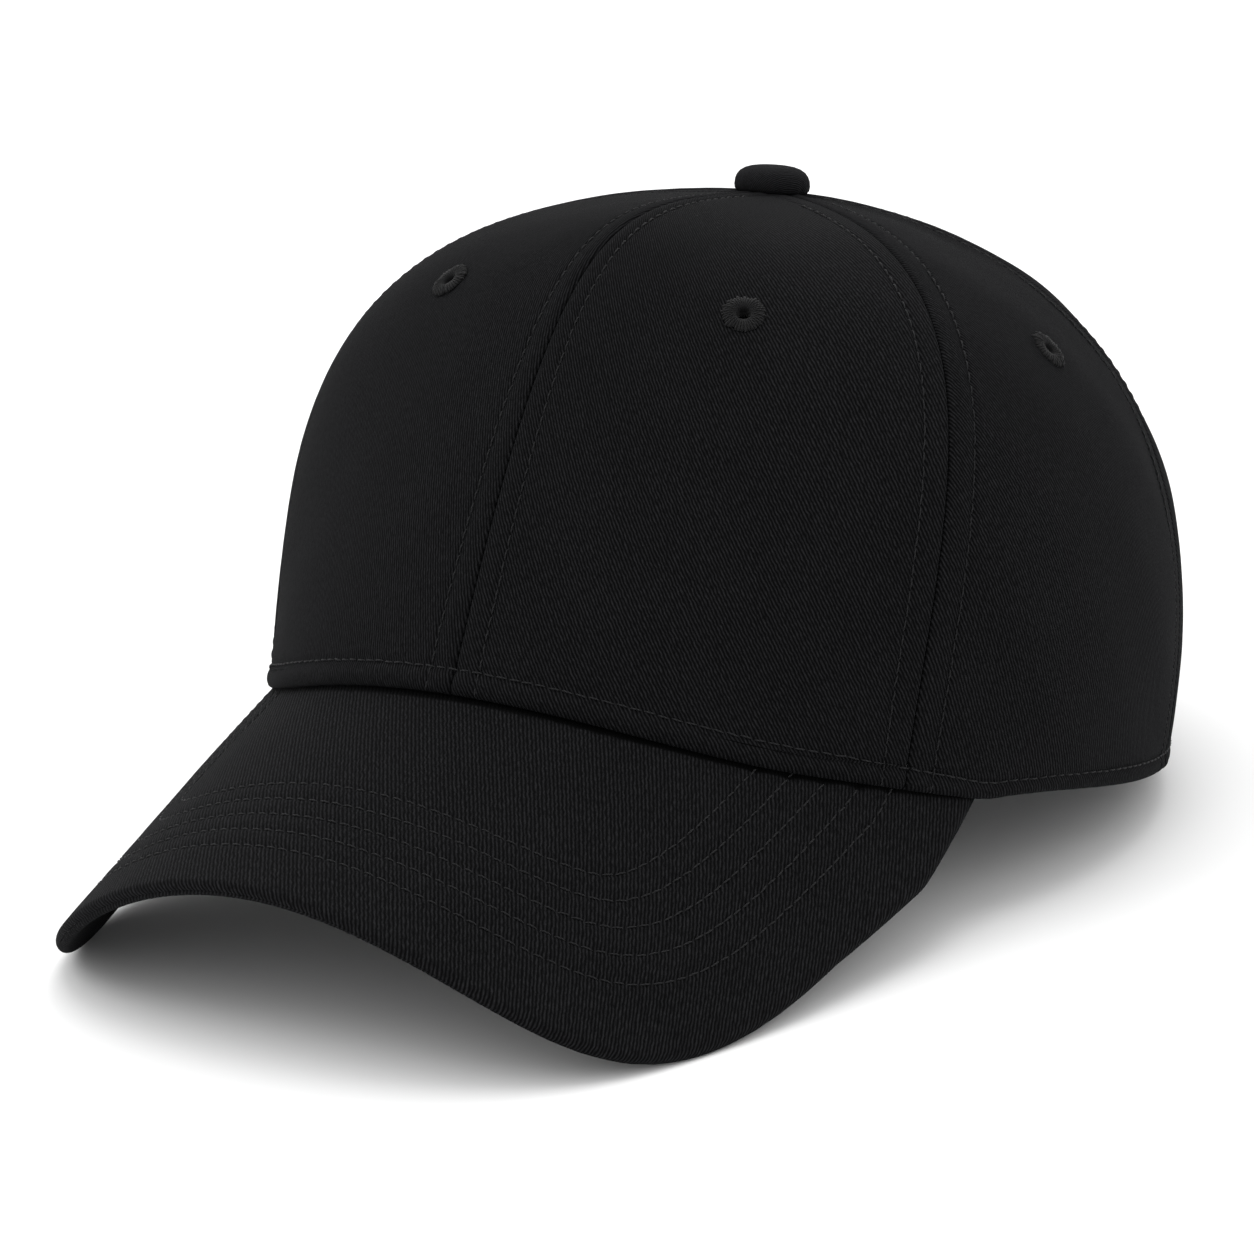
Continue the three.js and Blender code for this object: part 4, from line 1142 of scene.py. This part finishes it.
def arch_tape():
    """Tape that binds the edge of the back opening inside."""
    angle = np.linspace(0, np.pi, 180)
    grow = np.linspace(0.8, 9.8, 23)
    x, z = arch_outline(grow[:, None], angle[None, :])
    z = np.maximum(z, 1.4)
    edge = 4.5 - np.abs(grow - 5.3)[:, None] + 0 * x
    relief = rolled(edge, 0.7, 0.3) - 0.14 * bump(edge, 1.3, 0.35)
    outer = on_back(x, z, 1.6 + 0 * x)[0]
    inner = on_back(x, z, 2.2 + relief)[0]
    weave = np.stack([grow[:, None] + 0 * x, angle * 55 + 0 * x], -1)
    wall_piece("arch_tape", "tape", outer, inner, weave, True)


def band_grid(depth, low, high, end, cols, rows):
    """Points of a ring layer inside the rim, upright where the crown swells outward."""
    phi = np.linspace(-end, end, cols)
    out = np.zeros((rows, cols, 3))
    for i, share in enumerate(np.linspace(0, 1, rows)):
        t = low_t(phi, depth, low + (high - low) * share)
        p = crown_point(phi, t, np.full(cols, depth))
        r = np.hypot(p[:, 0], p[:, 1])
        limit = rim_radius(np.arctan2(p[:, 0], -p[:, 1])) - depth
        pull = np.minimum(1, limit / r)[:, None]
        out[i] = p * np.concatenate([pull, pull, np.ones_like(pull)], 1)
    return out


def sweatband():
    """Band inside the rim; returns the stitch row that joins it to the crown."""
    end_x = RIM_ARC_R * math.sin(math.radians(31.5))
    end = math.atan2(end_x, -(ARC_CENTRE + RIM_ARC_R * math.cos(math.radians(31.5))))
    rows, cols = 40, 300
    outer = band_grid(5.2, BAND_FOOT, BAND_TOP, end, cols, rows)
    inner = band_grid(5.95, BAND_FOOT, BAND_TOP, end, cols, rows)
    inward = unit(inner - outer)
    up = np.linspace(0, BAND_H, rows)[:, None] + np.zeros(cols)
    along = run_length(inner[0]) + 0 * up
    edge = np.minimum(up, BAND_H - up)
    relief = rolled(edge, 1.0, 0.3) + 0.15 * bump(edge, 1.5, 1.0) - 0.2 * bump(up, BAND_ROW, 0.7)
    relief = relief + 0.1 * ripple(along, up, 0.3)
    relief = relief + 0.06 * pucker(along, 0.5) * bump(up, BAND_ROW, 2.5)
    inner = inner + inward * relief[..., None]
    wall_piece("sweatband", "band", outer, inner, np.stack([along, up], -1))
    row = int(BAND_ROW / BAND_H * (rows - 1))
    return [(inner[row], inward[row])]


def pad():
    """Felt strip behind the forehead part of the sweatband."""
    rows, cols = 22, 140
    end = math.radians(63)
    outer = band_grid(3.4, PAD_FOOT, PAD_TOP, end, cols, rows)
    inner = band_grid(4.75, PAD_FOOT, PAD_TOP, end, cols, rows)
    up = np.linspace(0, PAD_H, rows)[:, None] + np.zeros(cols)
    along = np.linspace(0, 190, cols) + 0 * up
    edge = np.minimum(up, PAD_H - up)
    inner = inner + unit(inner - outer) * rolled(edge, 2.2, 0.6)[..., None]
    weave = np.stack([along, up], -1)
    made = wall_piece("sweatband_pad", "felt", outer, inner, weave)


for sign, hand in HANDS:
    buckram(hand, sign)
tape_rows = []
for sign, hand in HANDS:
    tape_rows += tape(f"tape_front_{hand}", "side", sign, (2.4, 3.05))
    tape_rows += tape(f"tape_back_{hand}", "back", sign, (1.4, 2.05))
tape_rows += tape("tape_front_center", "front", 1, (2.4, 3.05))
tape_rows += tape("tape_back_center", "rear", 1, (1.6, 2.2), over_arch_t())
sewn("stitching_tapes", "cap", tape_rows)
arch_tape()
sewn("stitching_band", "cap", sweatband())
pad()


# ------------------------------------------------------------------ closure
def arc_point(degrees, radius, z):
    a = np.radians(degrees)
    return np.stack([radius * np.sin(a), ARC_CENTRE + radius * np.cos(a), z + 0 * a], -1)


def arc_out(degrees):
    return arc_point(degrees, 1.0, 0.0) - arc_point(degrees, 0.0, 0.0)


STRAP_R = 81
STRAP_DEGREES = (-46.5, 46.0)
STRAP_DEGREE = 1.41  # length of one degree of the strap
STRAP_FOOT, STRAP_TOP = 4, 24
TAB_FOOT, TAB_TOP = 5, 23


def strap():
    """Folded cloth strap with a sewn edge top and bottom."""
    rows, cols = 36, 260
    low, high = STRAP_DEGREES
    degrees = np.linspace(low, high, cols) + np.zeros((rows, 1))
    z = (STRAP_FOOT + (STRAP_TOP - STRAP_FOOT) * crowded(rows))[:, None] + 0 * degrees
    edge = np.minimum(z - STRAP_FOOT, STRAP_TOP - z)
    tip = np.minimum(degrees - low, high - degrees) * STRAP_DEGREE
    along = np.radians(degrees) * STRAP_R
    relief = rolled(edge, 0.8, 0.42) + rolled(tip, 0.8, 0.42) - 0.16 * bump(edge, 2.0, 0.5)
    relief = relief + 0.05 * ripple(along, z, 0.9)
    outer = arc_point(degrees, 81.55 + relief, z)
    inner = arc_point(degrees, 80.45 - relief, z)
    weave = np.stack([along, z], -1)
    skin("cloth_strap", "strap", "closure_strap", outer, inner, weave, MATERIALS["closure"])
    d = np.linspace(-45.6, 45.2, 400)
    out = arc_out(d)
    rows_made = []
    for height in (6.0, 22.0):
        rows_made.append((arc_point(d, 81.45, height), out))
        rows_made.append((arc_point(d, 80.55, height), -out))
    sewn("stitching_strap", "strap", rows_made)


def fold_path(at, radius, r, steps):
    """Half circle beside an arc, from its outside to its inside."""
    c = arc_point(np.array(at), radius, 0.0)
    a = math.radians(at)
    turn = np.linspace(0, np.pi, steps)
    outward, right = r * np.cos(turn), -r * np.sin(turn)
    x = c[0] + outward * math.sin(a) + right * math.cos(a)
    y = c[1] + outward * math.cos(a) - right * math.sin(a)
    return np.stack([x, y, 0 * x], -1)


def tab():
    """Cloth tab folded round the buckle's bar, its leaves joined by a stitched box."""
    def path(outer_r, fold_r, inner_r):
        leaf = arc_point(np.linspace(44, 24.05, 60), outer_r, 0.0)
        tail = arc_point(np.linspace(24.05, 28.6, 14), inner_r, 0.0)
        return np.concatenate([leaf, fold_path(23.75, 78.45, fold_r, 22), tail])
    face, lining = path(80.1, 1.65, 76.8), path(79.2, 0.8, 77.6)
    z = (TAB_FOOT + (TAB_TOP - TAB_FOOT) * crowded(30))[:, None]
    edge = np.minimum(z - TAB_FOOT, TAB_TOP - z)
    soft = -rolled(edge, 0.7, 0.36) + 0.12 * bump(edge, 2.0, 0.5)
    toward = unit(lining - face)
    lift = z[..., None] * np.array([0.0, 0.0, 1.0])
    outer = (face + toward * soft[..., None]) + lift
    inner = (lining - toward * soft[..., None]) + lift
    along = run_length(face) + 0 * z
    weave = np.stack([along, z + 0 * along], -1)
    skin("cloth_tab", "cap", "closure_tab", outer, inner, weave, MATERIALS["closure"], True)
    d = np.linspace(43.5, 25.0, 120)
    rows_made = [(arc_point(d, 80.0, height), arc_out(d)) for height in (7.0, 21.0)]
    across = np.linspace(7.0, 21.0, 60)
    here = np.full(60, 27.6)
    rows_made.append((arc_point(here, 80.0, across), arc_out(here)))
    sewn("stitching_tab", "cap", rows_made)


strap()
tab()


def refinish(name, material):
    """Gives a kept node its material; its mesh stays as packed."""
    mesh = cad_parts[name].data
    mesh.materials.clear()
    mesh.materials.append(material)


for hard in ("button_shell", "button_tack", "buckle_frame", "buckle_lever", "buckle_pin"):
    refinish(hard, MATERIALS["brass"])


# ------------------------------------------------------------------ floor, light and camera
FLOOR_HALF_W = 12.0
LAMP_TARGET = Vector((0.0, 0.0, 0.06))


def floor():
    material, tree, shader = new_material("pale_floor")
    at = object_place(tree)
    stops = [(0.3, (0.87, 0.87, 0.87)), (0.7, (0.89, 0.89, 0.89))]
    tree.links.new(ramp(tree, noise(tree, at, 3.0), stops), shader.inputs["Base Color"])
    shader.inputs["Roughness"].default_value = 0.9
    shader.inputs["Specular IOR Level"].default_value = 0.1
    mesh = bpy.data.meshes.new("floor")
    far = FLOOR_HALF_W
    corners = [(-far, -far, 0), (far, -far, 0), (far, far, 0), (-far, far, 0)]
    mesh.from_pydata(corners, [], [(0, 1, 2, 3)])
    mesh.materials.append(material)
    made = bpy.data.objects.new("floor", mesh)
    bpy.context.scene.collection.objects.link(made)


def lamp(name, place, size, power):
    data = bpy.data.lights.new(name, "AREA")
    data.energy, data.size = power, size
    made = bpy.data.objects.new(name, data)
    made.location = place
    made.rotation_euler = (LAMP_TARGET - Vector(place)).to_track_quat("-Z", "Y").to_euler()
    bpy.context.scene.collection.objects.link(made)


def world_light(strength):
    world = bpy.data.worlds.new("studio")
    world.use_nodes = True
    inputs = world.node_tree.nodes["Background"].inputs
    inputs[0].default_value = (1, 1, 1, 1)
    inputs[1].default_value = strength
    bpy.context.scene.world = world


CAMERA_AZIMUTH = math.radians(33.4992)
CAMERA_ELEVATION = math.radians(17.0219)
CAMERA_ROLL = math.radians(2.4113)
CAMERA_DISTANCE = 1.20169
CAMERA_LENS = 166.32
CAMERA_SENSOR = 36.0
CAMERA_SIDE = -0.018334
CAMERA_RISE = 0.025112


def camera():
    az, el = CAMERA_AZIMUTH, CAMERA_ELEVATION
    forward = -Vector((math.sin(az) * math.cos(el), -math.cos(az) * math.cos(el), math.sin(el)))
    right = Vector((math.cos(az), math.sin(az), 0))
    up = right.cross(forward)
    target = right * CAMERA_SIDE + Vector((0, HEAD_Y / 1000, HEAD_Z / 1000 + CAMERA_RISE))
    cos, sin = math.cos(CAMERA_ROLL), math.sin(CAMERA_ROLL)
    side, top = right * cos - up * sin, right * sin + up * cos
    data = bpy.data.cameras.new("camera")
    data.lens, data.sensor_width = CAMERA_LENS, CAMERA_SENSOR
    made = bpy.data.objects.new("camera", data)
    turn = Matrix((side, top, -forward)).transposed().to_4x4()
    made.matrix_world = Matrix.Translation(target - forward * CAMERA_DISTANCE) @ turn
    bpy.context.scene.collection.objects.link(made)
    bpy.context.scene.camera = made


floor()
world_light(1.12)
lamp("key_left", (-0.9, -0.9, 1.4), 1.0, 6)
lamp("top_soft", (0.1, -0.1, 1.7), 1.0, 8)
lamp("fill_right", (1.2, -0.8, 1.0), 1.0, 2)
lamp("rim_back", (-0.5, 1.2, 1.0), 0.8, 3)
camera()
bpy.context.scene.view_settings.view_transform = "Standard"
